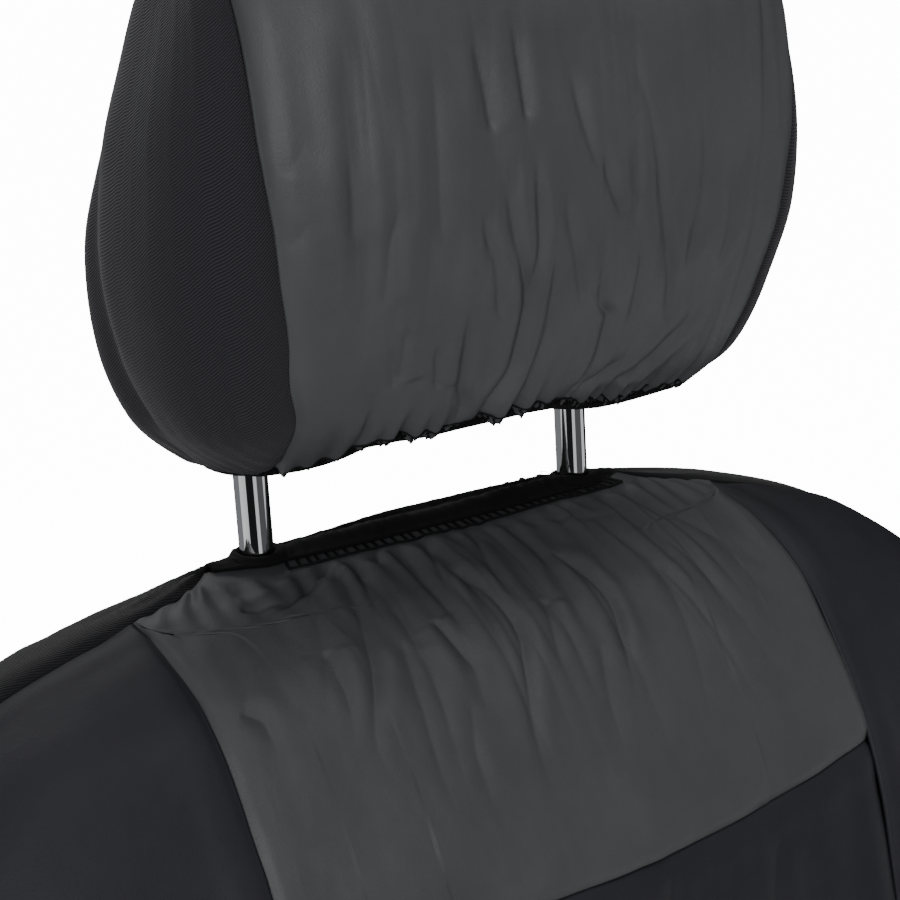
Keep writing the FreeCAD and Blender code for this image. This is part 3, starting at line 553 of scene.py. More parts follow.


# long folds given one by one: points (x, z) in mm on the skin, depth, width
HEAD_CREASES = [
    ([(-35.5, 143.0), (-29.6, 124.4), (-23.7, 106.2), (-16.8, 86.0), (-17.3, 68.6), (-23.3, 53.2)], 2.2, 3.0),
    ([(-21.4, 142.0), (-17.7, 123.3), (-16.0, 105.5), (-16.9, 87.6)], 1.7, 2.6),
    ([(-39.8, 126.8), (-36.4, 113.7), (-30.8, 100.8), (-26.6, 84.0)], 1.4, 2.8),
    ([(-40.0, 99.4), (-37.8, 82.3), (-36.7, 65.6), (-33.5, 56.5)], 2.0, 2.6),
    ([(6.0, 137.8), (10.7, 121.9), (17.2, 112.0)], 1.6, 2.6),
    ([(9.5, 121.9), (10.2, 104.5), (13.9, 84.3), (18.3, 79.3), (18.3, 67.9), (14.3, 57.0), (12.0, 54.3)], 1.7, 2.5),
    ([(-8.9, 128.5), (-5.5, 114.4), (0.9, 96.7), (5.4, 84.6)], 1.3, 2.8),
    ([(38.8, 64.0), (23.7, 60.0), (14.8, 51.9)], 1.8, 2.8),
    ([(-91.6, 145.1), (-97.8, 134.4)], 0.35, 3.6),
    ([(-91.3, 123.0), (-98.0, 114.4)], 0.35, 3.6),
    ([(-81.9, 144.4), (-80.4, 130.2), (-80.2, 114.4)], 0.8, 3.4),
    ([(-63.3, 128.9), (-69.1, 111.3), (-69.0, 94.3)], 1.0, 3.2),
    ([(-68.3, 68.3), (-66.2, 54.6)], 2.2, 2.2),
    ([(-52.0, 63.7), (-53.1, 52.2)], 1.8, 2.4),
    ([(-66.0, 83.3), (-61.1, 67.6)], 1.1, 3.0),
    ([(-60.6, 91.3), (-59.7, 69.3)], 1.1, 2.8),
    ([(-48.7, 82.3), (-45.8, 64.7)], 1.2, 2.8),
    ([(-40.2, 174.2), (-36.7, 157.5), (-33.8, 140.3)], 1.5, 3.0),
    ([(-26.5, 179.0), (-23.8, 162.3), (-21.4, 142.7)], 1.6, 2.6),
    ([(-6.7, 164.7), (-3.1, 150.9), (0.9, 137.5), (5.5, 126.8)], 1.4, 2.8),
    ([(15.1, 172.2), (25.4, 144.7), (33.4, 113.0), (44.1, 85.6), (48.1, 67.6)], 1.5, 3.0),
    ([(65.9, 82.6), (59.2, 73.7), (50.0, 65.3), (40.3, 57.3), (32.1, 52.7)], 2.2, 3.0),
    ([(48.3, 158.9), (50.4, 136.5), (52.0, 114.4), (50.0, 91.6)], 1.0, 3.6),
    ([(66.4, 129.2), (68.5, 109.3), (66.0, 89.6)], 0.9, 3.6),
    ([(-53.9, 169.4), (-53.6, 150.2), (-53.2, 130.6), (-51.4, 109.9)], 0.8, 3.4),
    ([(23.1, 112.7), (27.6, 94.3), (29.1, 75.7)], 1.2, 2.6),
    ([(-9.6, 116.1), (-9.0, 98.7), (-7.0, 79.3), (-9.3, 60.9)], 1.3, 2.8),
]
BACK_CREASES = [
    ([(-50.9, -0.81), (-68.4, -2.62), (-88.0, -5.82)], 2.8, 3.4),
    ([(-93.1, -3.91), (-85.2, -3.91), (-75.9, -3.68)], 1.3, 2.8),
    ([(-42.9, -1.22), (-51.5, -6.59), (-53.8, -12.05)], 1.3, 3.0),
    ([(-51.8, -1.87), (-59.0, -7.68), (-67.3, -18.95), (-76.6, -35.92), (-73.4, -48.95)], 1.6, 3.2),
    ([(-28.2, -0.31), (-37.8, -2.04)], 1.6, 1.8),
    ([(-11.8, -0.56), (-19.2, -3.68), (-24.8, -10.06)], 1.5, 2.6),
    ([(-17.7, -3.68), (-10.8, -8.24), (-8.8, -16.29), (-13.9, -28.52), (-20.8, -48.95), (-22.0, -62.05)], 1.8, 3.0),
    ([(7.1, -0.81), (-2.1, -6.86), (-4.3, -17.59)], 1.6, 2.6),
    ([(21.7, -1.22), (21.0, -6.08), (14.3, -12.4)], 1.4, 2.4),
    ([(24.0, -5.57), (29.2, -9.74), (31.9, -17.59), (26.6, -33.13), (22.8, -48.21)], 1.6, 2.8),
    ([(7.5, -13.12), (2.1, -23.9), (-0.5, -31.77)], 1.1, 3.0),
    ([(-37.3, -11.7), (-34.1, -18.49), (-30.6, -26.69)], 1.2, 3.0),
    ([(-113.8, -19.42), (-107.9, -22.86), (-107.9, -31.1)], 0.9, 3.6),
    ([(-77.9, -11.7), (-78.8, -21.34), (-84.1, -34.51)], 1.0, 3.2),
    ([(26.7, -1.22), (41.4, -1.87), (69.0, -4.37)], 0.8, 2.6),
    ([(-39.1, -30.44), (-44.0, -46.01), (-43.7, -62.05)], 0.9, 3.4),
    ([(59.0, -12.05), (57.2, -24.98), (54.5, -42.4), (49.9, -59.68)], 0.8, 4.0),
    ([(18.9, -26.11), (13.2, -41.67), (11.2, -62.05)], 0.9, 3.4),
    ([(-51.9, -13.5), (-56.6, -27.29), (-58.4, -45.29), (-56.3, -64.45)], 1.0, 3.6),
]


def auto_creases(body, n, xr, zr, seed, length, amp, width, drift=0.12, conv=0.0, zc=0.0):
    """Seeded long folds that run mostly along the height, closing in towards the gathered edge at zc."""
    r = np.random.RandomState(seed)
    out = []
    for _ in range(n):
        x0, z0 = r.uniform(*xr), r.uniform(*zr)
        L = r.uniform(*length)
        k = 5
        zs = np.linspace(z0, z0 + L, k)
        xs = x0 + np.cumsum(r.normal(0, drift, k)) * L / k + conv * (x0) * (zs - zc) / 150.0
        pts = [(float(np.clip(x, xr[0], xr[1])), float(z)) for x, z in zip(xs, zs)]
        out.append((pts, r.uniform(*amp), r.uniform(*width)))
    return out


def clip_z(lst, lo, hi):
    return [([(x, min(max(z, lo), hi)) for x, z in pts], a, w) for pts, a, w in lst]


HEM_Z = [(-3.70, 33.0), (-3.32, 34.5), (-3.165, 35.0), (-2.70, 38.0), (-2.55, 38.2), (-2.36, 40.0), (-2.27, 41.8), (-2.205, 43.9), (-2.13, 47.6),
         (-2.04, 48.0), (-1.94, 47.5), (-1.83, 48.3), (-1.70, 48.8), (-1.59, 49.4), (-1.49, 49.0), (-1.345, 45.7), (-1.23, 43.9), (-1.115, 43.5),
         (-1.0, 43.7), (-0.89, 43.6), (-0.60, 40.0), (0.0, 35.5), (0.55, 33.0), (1.6, 33.0), (2.50, 33.0)]
HEM_TH = np.array([h[0] for h in HEM_Z])
HEM_S = np.array([HB.s_of_z(h[1]) for h in HEM_Z])


def hem_warp(S, TH):
    """Rows near the lower edge rise to the hem, which is higher in front than at the sides."""
    return S + np.interp(TH, HEM_TH, HEM_S, period=2 * np.pi) * (1 - S) ** 3


# front panel, gathered along its lower edge
S, TH, P, Nn = panel_grid(HB, 0.0, 1.0, head_front, mirror_th(head_front), 320, 320)
S = hem_warp(S, TH)
P, Nn = HB.at(S, TH), HB.normal(S, TH)
L1, L0 = arc(P, 1), arc(P, 0)
dl, dr = L1, L1[:, -1:] - L1
u = L1 - L1[:, 160:161]
D = seam_pinch(dl) + seam_pinch(dr)
hem = np.exp(-L0 / 16.0)
D += hem * (1.5 * np.sin(2 * np.pi * u / 8.5 + 2.2 * N1(u / 17.0, L0 / 30.0)) * np.exp(-L0 / 16.0) + 1.1 * N2(u / 5.0, L0 / 40.0))
D += -1.5 * np.exp(-(L0 / 3.5) ** 2) + 0.45 * np.sin(2 * np.pi * u / 3.1 + N2(u / 9.0, 0 * u)) * np.exp(-(L0 / 3.0) ** 2)
D += 0.55 * fbm(u / 34.0, L0 / 90.0) + 0.62 * fbm(u / 12.0 + 3, L0 / 120.0) * (0.35 + 0.65 * np.exp(-(L0 / 130.0) ** 2))
cr = map_creases(HB, HEAD_CREASES) + map_creases(HB, clip_z(auto_creases(HB, 34, (-84, 84), (64, 112), 11, (50, 130), (0.28, 0.6), (2.6, 4.6), drift=0.05, conv=0.10, zc=36), 64, 225))
D += crease_field(P, Nn, cr, 0.42, 0.14)
head_front_ob, HQ, HW = finish_panel("head_cover_leather_front", P, Nn, D, to_head, M_GREY, "head_restraint", ["head_cover_front"])

# fabric sides
for side, nm in ((-1, "left"), (1, "right")):
    f0, f1 = (head_rear, head_front) if side < 0 else (mirror_th(head_front), mirror_th(head_rear))
    S, TH, P, Nn = panel_grid(HB, 0.0, 1.0, f0, f1, 200, 110, th_mid=-math.pi if side < 0 else 0.0)
    S = hem_warp(S, TH)
    P, Nn = HB.at(S, TH), HB.normal(S, TH)
    L1, L0 = arc(P, 1), arc(P, 0)
    tot = L1[:, -1:]
    dl, dr = L1, tot - L1
    D = seam_pinch(dl, 1.4, 2.4, 0.5) + seam_pinch(dr, 1.4, 2.4, 0.5)
    fr = L1 / tot if side < 0 else 1 - L1 / tot          # 0 at the rear seam, 1 at the front seam
    z = P[..., 2]
    # long fold near the rear edge, where the cloth stands off the foam
    line = 0.30 - 0.12 * (z - 110) / 80.0
    q = (fr - line) * tot
    D += -3.6 * np.exp(-(q / 8.0) ** 2) * np.clip((205 - z) / 60.0, 0, 1) * np.clip((z - 34) / 26.0, 0, 1)
    D += 1.6 * np.exp(-((q + 17) / 10.0) ** 2) * np.clip((180 - z) / 60.0, 0, 1)
    D += 0.5 * fbm(L1 / 40.0 + 7 * side, z / 60.0) + np.exp(-L0 / 12.0) * 1.1 * np.sin(2 * np.pi * L1 / 7.5 + 2 * N1(L1 / 15.0, 0 * L1))
    D += -1.6 * np.exp(-(L0 / 5.0) ** 2)
    finish_panel("head_cover_side_panel_" + nm, P, Nn, D, to_head, M_TWILL, "head_restraint", ["head_cover_side_" + nm])

S, TH, P, Nn = panel_grid(HB, 0.0, 1.0, lambda s: -math.pi - head_rear(s), lambda s: head_rear(s) + 2 * math.pi, 160, 180, th_mid=math.pi / 2)
S = hem_warp(S, TH)
P, Nn = HB.at(S, TH), HB.normal(S, TH)
L1, L0 = arc(P, 1), arc(P, 0)
D = seam_pinch(L1, 1.4, 2.4, 0.5) + seam_pinch(L1[:, -1:] - L1, 1.4, 2.4, 0.5)
D += 0.7 * fbm(L1 / 40.0, L0 / 70.0) + np.exp(-L0 / 14.0) * 1.2 * np.sin(2 * np.pi * L1 / 8.0 + 2 * N1(L1 / 15.0, 0 * L1)) - 1.6 * np.exp(-(L0 / 5.0) ** 2)
D += crease_field(P, Nn, [])
finish_panel("head_cover_rear_panel", P, Nn, D, to_head, M_TWILL_REAR_SHADED, "head_restraint", ["head_cover_rear"])


# ------------------------------------------------------------------ gathered hem of the head restraint cover
def hem_ring(body, s, n):
    th = np.linspace(0, 2 * math.pi, n, endpoint=False)
    S_ = np.full(n, s)
    if body is HB:
        S_ = hem_warp(S_, th)
    P = body.at(S_, th)
    d = np.linalg.norm(np.roll(P, -1, 0) - P, axis=1)
    L = np.concatenate([[0], np.cumsum(d)])
    q = np.linspace(0, L[-1], n, endpoint=False)
    th2 = np.interp(q, L, np.concatenate([th, [2 * math.pi]]))
    if body is HB:
        S_ = hem_warp(np.full(n, s), th2)
    return th2, body.at(S_, th2), body.normal(S_, th2), q, L[-1]


def ruffle_tube(name, body_skin, s, frame_fn, mat, body, nodes, r=2.0, down=-1.0, amp=1.0, seed=3, n=900, m=10, wave=6.5, inset=1.6, flat=1.5):
    """Soft gathered roll that follows an edge."""
    th, P, N_, q, tot = hem_ring(body_skin, s, n)
    k1 = round(tot / wave)
    ph = 2 * np.pi * q / tot
    w = np.sin(k1 * ph + 1.3 * np.sin(ph * 7 + seed)) + 0.6 * np.sin(ph * round(k1 * 0.37) + seed)
    hn = N_.copy()
    hn[:, 2] = 0
    hn /= np.linalg.norm(hn, axis=1, keepdims=True)
    verts = np.zeros((n, m, 3))
    for j in range(m):
        a = 2 * np.pi * j / m
        rr = r * (1 + 0.22 * w)
        verts[:, j] = P + hn * (-inset + rr * np.cos(a) + 0.35 * amp * w)[:, None]
        verts[:, j, 2] += down * (rr * flat * 0.9) + flat * rr * np.sin(a) + 0.5 * amp * w
    faces = []
    for i in range(n):
        i2 = (i + 1) % n
        for j in range(m):
            j2 = (j + 1) % m
            faces.append((i * m + j, i2 * m + j, i2 * m + j2, i * m + j2))
    uv = np.stack([np.repeat(q[:, None], m, 1) * MM, np.repeat(np.arange(m)[None], n, 0) * r * MM], -1).reshape(-1, 2)
    ob = new_mesh(name, frame_fn(verts).reshape(-1, 3), faces, uv)
    ob.data.materials.append(mat)
    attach(ob, body)
    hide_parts(*nodes)
    return ob


ruffle_tube("head_cover_gathered_hem", HB, 0.004, to_head, M_ELASTIC, "head_restraint", ["head_cover_hem_elastic"], r=1.25, amp=0.7, wave=3.3, inset=2.3, down=0.35, n=1500, m=8)

# overlock stitches over the hem of the leather front
strands = []
nst = 92
cols = np.linspace(4, 316, nst)
for i, c in enumerate(cols):
    c0 = int(c)
    if rng.rand() < 0.1:
        continue
    ln = 3.6 + 1.6 * rng.rand()
    rows_ = np.searchsorted(arc(HQ, 0)[:, c0], np.linspace(0, ln, 4))
    pts = [HQ[min(int(r_), 319), min(320, c0 + (2 if k < 2 else 0))] for k, r_ in enumerate(rows_)]
    top = pts[-1]
    nrm = HB.normal(np.array([0.01]), np.array([HB.th_x(np.array([0.01]), top[0])[0]]))[0]
    pts = [p + nrm * 0.25 for p in pts]
    strands.append(pts)
tips = [st[-1] for st in strands]
strands.append(tips)
curve_obj("head_cover_overlock", strands, 0.34, M_THREAD, "head_restraint", to_head)

# foam under the cover
S = np.linspace(0.03, 0.97, 60)
th = np.linspace(0, 2 * math.pi, 97)[:-1]
SS, TT = np.meshgrid(S, th, indexing="ij")
SS = hem_warp(SS, TT)
P, N_ = HB.at(SS, TT), HB.normal(SS.ravel(), TT.ravel()).reshape(60, 96, 3)
Q = P - N_ * 5.2
verts = list(Q.reshape(-1, 3))
faces = []
for i in range(59):
    for j in range(96):
        j2 = (j + 1) % 96
        faces.append((i * 96 + j, (i + 1) * 96 + j, (i + 1) * 96 + j2, i * 96 + j2))
faces.append(tuple(range(96)))
faces.append(tuple(59 * 96 + j for j in range(95, -1, -1)))
hf = new_mesh("head_foam_pad", to_head(np.array(verts)), faces)
hf.data.materials.append(M_PAD)
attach(hf, "head_restraint")
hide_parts("head_foam")


# ------------------------------------------------------------------ backrest cover
S_SEAM = BB.s_of_z(SEAM_Z)
_s = np.linspace(0, 0.2, 8000)
S_COR = float(_s[np.argmax(seam_th(_s) > ridge_th(_s) + 1e-4)]) - 2e-4
S_LUT = np.linspace(0, 1, 2000)
Z_LUT = BB.z(S_LUT)


def s_at_z(z):
    return np.interp(-np.asarray(z), -Z_LUT, S_LUT)


def seam_s(u):
    """The cross seam sags a little in the middle."""
    x = (2 * u - 1) * SEAM_X
    return s_at_z(-90.0 + 11.0 * (x / 127.0) ** 2)


def back_grid(top, bottom, th0, th1, ns, nt):
    """Rows between two edges that may curve; top and bottom give s for a place 0..1 across."""
    Sp, Tp, _, _ = panel_grid(BB, float(np.mean(top(np.array([0.5])))), float(np.mean(bottom(np.array([0.5])))), th0, th1, ns, nt)
    a0, a1 = th0(Sp), th1(Sp)
    g = (Tp - a0) / (a1 - a0)
    u = np.linspace(0, 1, nt + 1)
    v = (Sp - Sp[:1]) / (Sp[-1:] - Sp[:1])
    S2 = top(u)[None] + (bottom(u) - top(u))[None] * v
    T2 = th0(S2) + (th1(S2) - th0(S2)) * g
    return S2, T2, BB.at(S2, T2), BB.normal(S2, T2)


def fan(n, seed):
    r = np.random.RandomState(seed)
    out = []
    for _ in range(n):
        x0 = r.uniform(-82, 82)
        z1 = -r.uniform(12, 80)
        x1 = x0 * r.uniform(1.05, 1.55) + r.normal(0, 6)
        t = np.linspace(0, 1, 5)
        out.append(([(float(np.clip(x0 + (x1 - x0) * v, -118, 118)), float(-0.8 + (z1 + 0.8) * v ** 1.5)) for v in t], r.uniform(0.35, 1.0), r.uniform(2.2, 4.4)))
    return out


zero = lambda u: 0.0 * u
one = lambda u: 0.0 * u + 1.0
S, TH, P, Nn = back_grid(zero, seam_s, seam_th, mirror_th(seam_th), 230, 380)
L1, L0 = arc(P, 1), arc(P, 0)
u = L1 - L1[:, 190:191]
db = L0[-1:] - L0
D = seam_pinch(L1, 1.4, 2.2, 0.6) + seam_pinch(L1[:, -1:] - L1, 1.4, 2.2, 0.6) + seam_pinch(db, 1.4, 2.2, 0.6)
near = np.exp(-L0 / 22.0) * np.clip((L0 - 8.5) / 7.0, 0, 1)
D += near * (1.7 * np.sin(2 * np.pi * u / 10.5 + 2.4 * N1(u / 19.0, L0 / 40.0)) + 1.0 * N2(u / 5.5, L0 / 30.0))
D += 0.9 * fbm(u / 58.0 + 2, L0 / 46.0) + 0.34 * fbm(u / 15.0 + 6, L0 / 30.0)
D += crease_field(P, Nn, map_creases(BB, BACK_CREASES) + map_creases(BB, fan(26, 5)), 0.08, 0.5) * np.clip((L0 - 7.5) / 6.0, 0.05, 1)
# the edge of the leather runs on over the gathered band by e(x)
xe = P[0, :, 0]
e_in = np.interp(xe, [-88, -80, -66, -45, -15, 6, 30, 51, 60, 80, 88], [0, 2.4, 5.6, 7.2, 8.8, 7.6, 8.6, 8.8, 5.2, 2.2, 0])
fade = np.exp(-(L0 / 9.0) ** 2)
P = P + np.stack([0 * L0, e_in[None] * fade, 0.14 * e_in[None] * fade], -1)
grey_ob, GQ, GW = finish_panel("back_cover_leather_upper", P, Nn, D, to_back, M_GREY, "backrest", ["back_cover_grey_panel"])
G_L0, G_N = L0, Nn

S, TH, P, Nn = back_grid(seam_s, one, seam_th, mirror_th(seam_th), 300, 200)
L1, L0 = arc(P, 1), arc(P, 0)
D = seam_pinch(L1, 1.4, 2.4, 0.8) + seam_pinch(L1[:, -1:] - L1, 1.4, 2.4, 0.8) + seam_pinch(L0, 1.4, 2.2, 0.6)
D += 0.9 * fbm(L1 / 60.0 + 4, L0 / 80.0) + 0.22 * fbm(L1 / 16.0, L0 / 40.0 + 7)
D += crease_field(P, Nn, map_creases(BB, [([(20, -92), (16, -108), (14, -130)], 0.9, 3.6), ([(-66, -96), (-60, -120), (-58, -150)], 0.8, 4.0),
                                         ([(70, -96), (64, -116), (60, -140)], 0.7, 4.0), ([(-90, -440), (-40, -470), (20, -478)], 1.0, 6.0)]))
finish_panel("back_cover_leather_lower", P, Nn, D, to_back, M_BLACK, "backrest", ["back_cover_lower_panel"])

for side, nm in ((-1, "left"), (1, "right")):
    f0, f1 = (ridge_th, seam_th) if side < 0 else (mirror_th(seam_th), mirror_th(ridge_th))
    S, TH, P, Nn = panel_grid(BB, S_COR, 1.0, f0, f1, 330, 150, th_mid=-2.2 if side < 0 else 2.2 - math.pi)
    L1, L0 = arc(P, 1), arc(P, 0)
    D = seam_pinch(L1, 1.4, 2.4, 0.8) + seam_pinch(L1[:, -1:] - L1, 1.4, 2.4, 0.8)
    D += 1.0 * fbm(L1 / 70.0 + 9 * side, L0 / 80.0) + 0.20 * fbm(L1 / 18.0 + side, L0 / 26.0)
    D *= np.clip(L1[:, -1:] / 30.0, 0.2, 1)
    finish_panel("back_cover_leather_bolster_" + nm, P, Nn, D, to_back, M_BLACK, "backrest", ["back_cover_bolster_" + nm])

S, TH, P, Nn = panel_grid(BB, 0.0, 1.0, lambda s: -math.pi - ridge_th(s), lambda s: ridge_th(s) + 2 * math.pi, 300, 240, th_mid=math.pi / 2)
L1, L0 = arc(P, 1), arc(P, 0)
D = seam_pinch(L1, 1.3, 2.4, 0.5) + seam_pinch(L1[:, -1:] - L1, 1.3, 2.4, 0.5)
D += 1.1 * fbm(L1 / 80.0 + 3, L0 / 90.0) + 0.25 * fbm(L1 / 20.0, L0 / 34.0)
D += np.exp(-L0 / 18.0) * 1.2 * np.sin(2 * np.pi * L1 / 9.0 + 2 * N1(L1 / 18.0, 0 * L1))
D += -3.4 * np.exp(-L0 / 7.0) * np.interp(P[0, :, 0], [-90, -45, -10, 60, 90], [1.0, 1.0, 0.25, 0.15, 0.5])[None]
finish_panel("back_cover_fabric_rear", P, Nn, D, to_back, M_TWILL_REAR_SHADED, "backrest", ["back_cover_rear"])

# pocket sewn on the fabric, slack along its elastic mouth
pk0, pk1 = BB.s_of_z(-210), BB.s_of_z(-470)
S, TH, P, Nn = panel_grid(BB, pk0, pk1, lambda s: BB.th_x(s, 165 + 0 * s, False), lambda s: BB.th_x(s, -165 + 0 * s, False), 150, 180, th_mid=math.pi / 2)
L1, L0 = arc(P, 1), arc(P, 0)
edge = np.minimum(np.minimum(L1, L1[:, -1:] - L1), L0[-1:] - L0)
D = 2.6 + 2.2 * np.clip(edge / 30.0, 0, 1) + np.exp(-L0 / 20.0) * np.clip(edge / 20.0, 0, 1) * (1.6 + 1.0 * np.sin(2 * np.pi * L1 / 11.0 + 2 * N1(L1 / 20.0, 0 * L1)))
D += 0.6 * fbm(L1 / 50.0, L0 / 60.0) * np.clip(edge / 20.0, 0, 1) - 0.8 * np.exp(-((edge - 7.0) / 1.2) ** 2)
pocket_ob, PQ, PW = finish_panel("rear_pocket_fabric", P, Nn, D, to_back, M_TWILL_REAR_SHADED, "backrest", ["rear_pocket"], thick=1.4)
mouth = PQ[0] + Nn[0] * 0.9
curve_obj("rear_pocket_binding", [mouth], 1.5, M_ELASTIC, "backrest", to_back, 3)

ruffle_tube("back_cover_gathered_hem", BB, 0.998, to_back, M_ELASTIC, "backrest", ["back_cover_hem_elastic"], r=2.3, amp=1.0, n=1300, wave=9.0, seed=5)

# ------------------------------------------------------------------ opening for the posts: gathered band
nx, ny = 420, 44
xs, v = np.linspace(-89, 89, nx), np.linspace(0, 1, ny)
X, V_ = np.meshgrid(xs, v, indexing="ij")
half = 0.5 * (1 - np.abs(X / 90.5) ** 3.2) ** (1 / 3.2)
YC = 0.5
Y = YC + (2 * V_ - 1) * half * 24.4
bulge = np.exp(-((V_ - 0.34) / 0.20) ** 2)
tall = np.interp(X, [-89, -72, -62, -52, -38, -21, -4, 18, 47, 59, 78, 89], [0.4, 0.9, 1.2, 1.4, 2.2, 2.7, 2.3, 2.4, 3.4, 3.4, 1.8, 0.4])
Z = 0.2 + tall * bulge * (1 + 0.10 * N1(X / 13.0, 0 * X + 2.5)) - 1.6 * np.exp(-((V_ - 0.80) / 0.14) ** 2) - 3.2 * np.clip((V_ - 0.5) / 0.4, 0, 1) * np.interp(X, [-90, -45, -10, 60, 90], [1.0, 1.0, 0.3, 0.2, 0.5])
Z += (0.18 * np.sin(2 * np.pi * X / 5.2 + 2.4 * N2(X / 9.0, V_ * 2)) + 0.35 * N3(X / 6.0, V_ * 5)) * np.clip(V_ / 0.15, 0, 1) * np.clip((1 - V_) / 0.1, 0, 1)
for sx in (-70.0, 70.0):
    cy = 0.1 * Z
    dx, dy = X - sx, Y - cy
    r = np.hypot(dx, dy) + 1e-6
    k = np.where(r < 12.0, (7.0 + (r / 12.0) * 5.0) / r, 1.0)
    X, Y = sx + dx * k, cy + dy * k
    Z = Z + 0.8 * np.exp(-((np.hypot(X - sx, Y - cy) - 7.6) / 1.6) ** 2)
pts = np.stack([X, Y, Z], -1)
faces = grid_faces(nx, ny)
flatp = pts.reshape(-1, 3)
keep = []
for f in faces:
    c = flatp[f].mean(0)
    span = np.ptp(flatp[f], axis=0).max()
    if min(math.hypot(c[0] - 70, c[1] - 0.1 * c[2]), math.hypot(c[0] + 70, c[1] - 0.1 * c[2])) > 6.7 and span < 7:
        keep.append(f)
used = np.unique(np.array(keep))
remap = -np.ones(len(flatp), int)
remap[used] = np.arange(len(used))
L1x, L0y = arc(pts, 0), arc(pts, 1)
band = new_mesh("back_opening_gathered_band", to_back(flatp[used]), [[remap[i] for i in f] for f in keep], np.stack([L1x * MM, L0y * MM], -1).reshape(-1, 2)[used])
band.data.materials.append(M_ELASTIC)
so = band.modifiers.new("thickness", "SOLIDIFY")
so.thickness = 0.0012
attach(band, "backrest")
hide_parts("back_opening_elastic")

# ladder of overlock stitches over the leather's edge, and frayed ends near the right post
rng = np.random.RandomState(21)
cols = []
for x in np.arange(-62, 79, 3.7):
    cols.append(x + rng.normal(0, 0.25))
strands, tips, roots = [], [], []
top_x = GQ[0, :, 0]
for x in cols:
    j = int(np.argmin(np.abs(top_x - x)))
    ln = 7.6 + 0.3 * rng.rand()
    st = []
    for k in np.linspace(0, ln, 5):
        i = int(np.searchsorted(G_L0[:, j], k))
        st.append(GQ[i, j] + G_N[i, j] * (0.45 if k > 0 else 0.2))
    jj = min(380, j + 1)
    i = int(np.searchsorted(G_L0[:, jj], ln))
    st[-1] = GQ[i, jj] + G_N[i, jj] * 0.3
    st = [GQ[0, j] + np.array([0, 1.6, 0.9])] + st
    strands.append(st)
    tips.append(st[-1])
    roots.append(GQ[0, j] + np.array([0, 0.6, 0.7]))
strands += [tips, roots]
curve_obj("back_opening_overlock", strands, 0.55, M_THREAD, "backrest", to_back)
fray = []
for _ in range(26):
    x = rng.uniform(28, 62)
    y0, z0 = rng.uniform(-6, -1), 5.6
    d = rng.normal(0, 1, 3)
    st = [np.array([x, y0, z0 - 1.5])]
    for k in range(4):
        st.append(st[-1] + np.array([0.9 * d[0] + rng.normal(0, 0.4), 0.7 * d[1], 1.0 + 0.3 * rng.rand() - 0.35 * k]))
    fray.append(st)
curve_obj("back_opening_loose_threads", fray, 0.12, M_THREAD, "backrest", to_back, 0)
lips = []
for sx in (-70.0, 70.0):
    a = np.linspace(0, 2 * np.pi, 73)
    for k, (r_, z_) in enumerate(((7.7, 0.0), (7.5, 1.2), (8.6, 0.5))):
        lips.append(np.stack([sx + (r_ + 0.3 * np.sin(9 * a + k)) * np.cos(a), 0.1 * z_ + (r_ + 0.3 * np.sin(9 * a + k)) * np.sin(a), z_ + 0.5 * np.sin(7 * a + 2 * k)], 1))
curve_obj("back_opening_post_bindings", lips, 1.05, M_ELASTIC, "backrest", to_back, 3)

# ------------------------------------------------------------------ backrest foam: one closed piece round the hollow for the frame
nz, m = 46, 96
zo = np.interp(np.linspace(0, 1, nz), [0, 0.12, 1], [-6.0, -30.0, -562.0])
ang = -np.pi / 2 + 2 * np.pi * np.arange(m) / m
rings = []
for z in zo:
    s = np.full(m, BB.s_of_z(z))
    P = BB.at(s, ang)
    N_ = BB.normal(s, ang)
    N_[:, 2] = 0
    N_ /= np.linalg.norm(N_, axis=1, keepdims=True) + 1e-9
    rings.append(P - N_ * 6.2 - np.array([0, 0, 3.0 if z > -20 else 0.0]))
for z in np.linspace(-562, -62, 30):
    F = -46 - (-62 - z) * 120.0 / 538.0
    R = 14 - (-62 - z) * 126.0 / 538.0
    W_ = 207.0 if z > -438 else 211.5
    rc = (np.abs(np.cos(ang)) ** 9 + np.abs(np.sin(ang)) ** 9) ** (-1 / 9.0)
    x, y = W_ * rc * np.cos(ang), (F + R) / 2 + (R - F) / 2 * rc * np.sin(ang)
    if z < -442:
        y = np.where((np.abs(x) > 197) & (y < -120), np.minimum(y, -204.0), y)
    rings.append(np.stack([x, y, np.full(m, z)], 1))
verts = np.concatenate(rings)
faces = []
for i in range(len(rings) - 1):
    for j in range(m):
        j2 = (j + 1) % m
        faces.append((i * m + j, i * m + j2, (i + 1) * m + j2, (i + 1) * m + j))
faces.append(tuple(range(m - 1, -1, -1)))
faces.append(tuple((len(rings) - 1) * m + j for j in range(m)))
bf = new_mesh("back_foam_pad", to_back(verts), faces)
bf.data.materials.append(M_PAD)
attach(bf, "backrest")
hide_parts("back_foam")

# ------------------------------------------------------------------ seat cushion cover
CB = Body([r + (0,) for r in CUSH], 4.5)
cz = np.array([r[0] for r in CUSH], float)
c_a, c_f, c_b = [Pchip(cz, [r[k] for r in CUSH]) for k in (1, 2, 3)]


def cush_F(x, y, z):
    zz = np.clip(z, 0, 126)
    a, f, b = c_a(zz), c_f(zz), c_b(zz)
    yc, h = (f + b) / 2, (b - f) / 2
    val = np.abs(x / a) ** 4.5 + np.abs((y - yc) / h) ** 4.5
    return np.where(z > 126, val + (z - 126) * 50.0, val) - 1.0


def cush_polar(base, direction, rmax):
    lo = np.zeros(direction.shape[:-1])
    hi = np.full(direction.shape[:-1], rmax)
    for _ in range(34):
        mid = (lo + hi) / 2
        q = base + direction * mid[..., None]
        ins = cush_F(q[..., 0], q[..., 1], q[..., 2]) < 0
        lo, hi = np.where(ins, mid, lo), np.where(ins, hi, mid)
    return base + direction * lo[..., None]


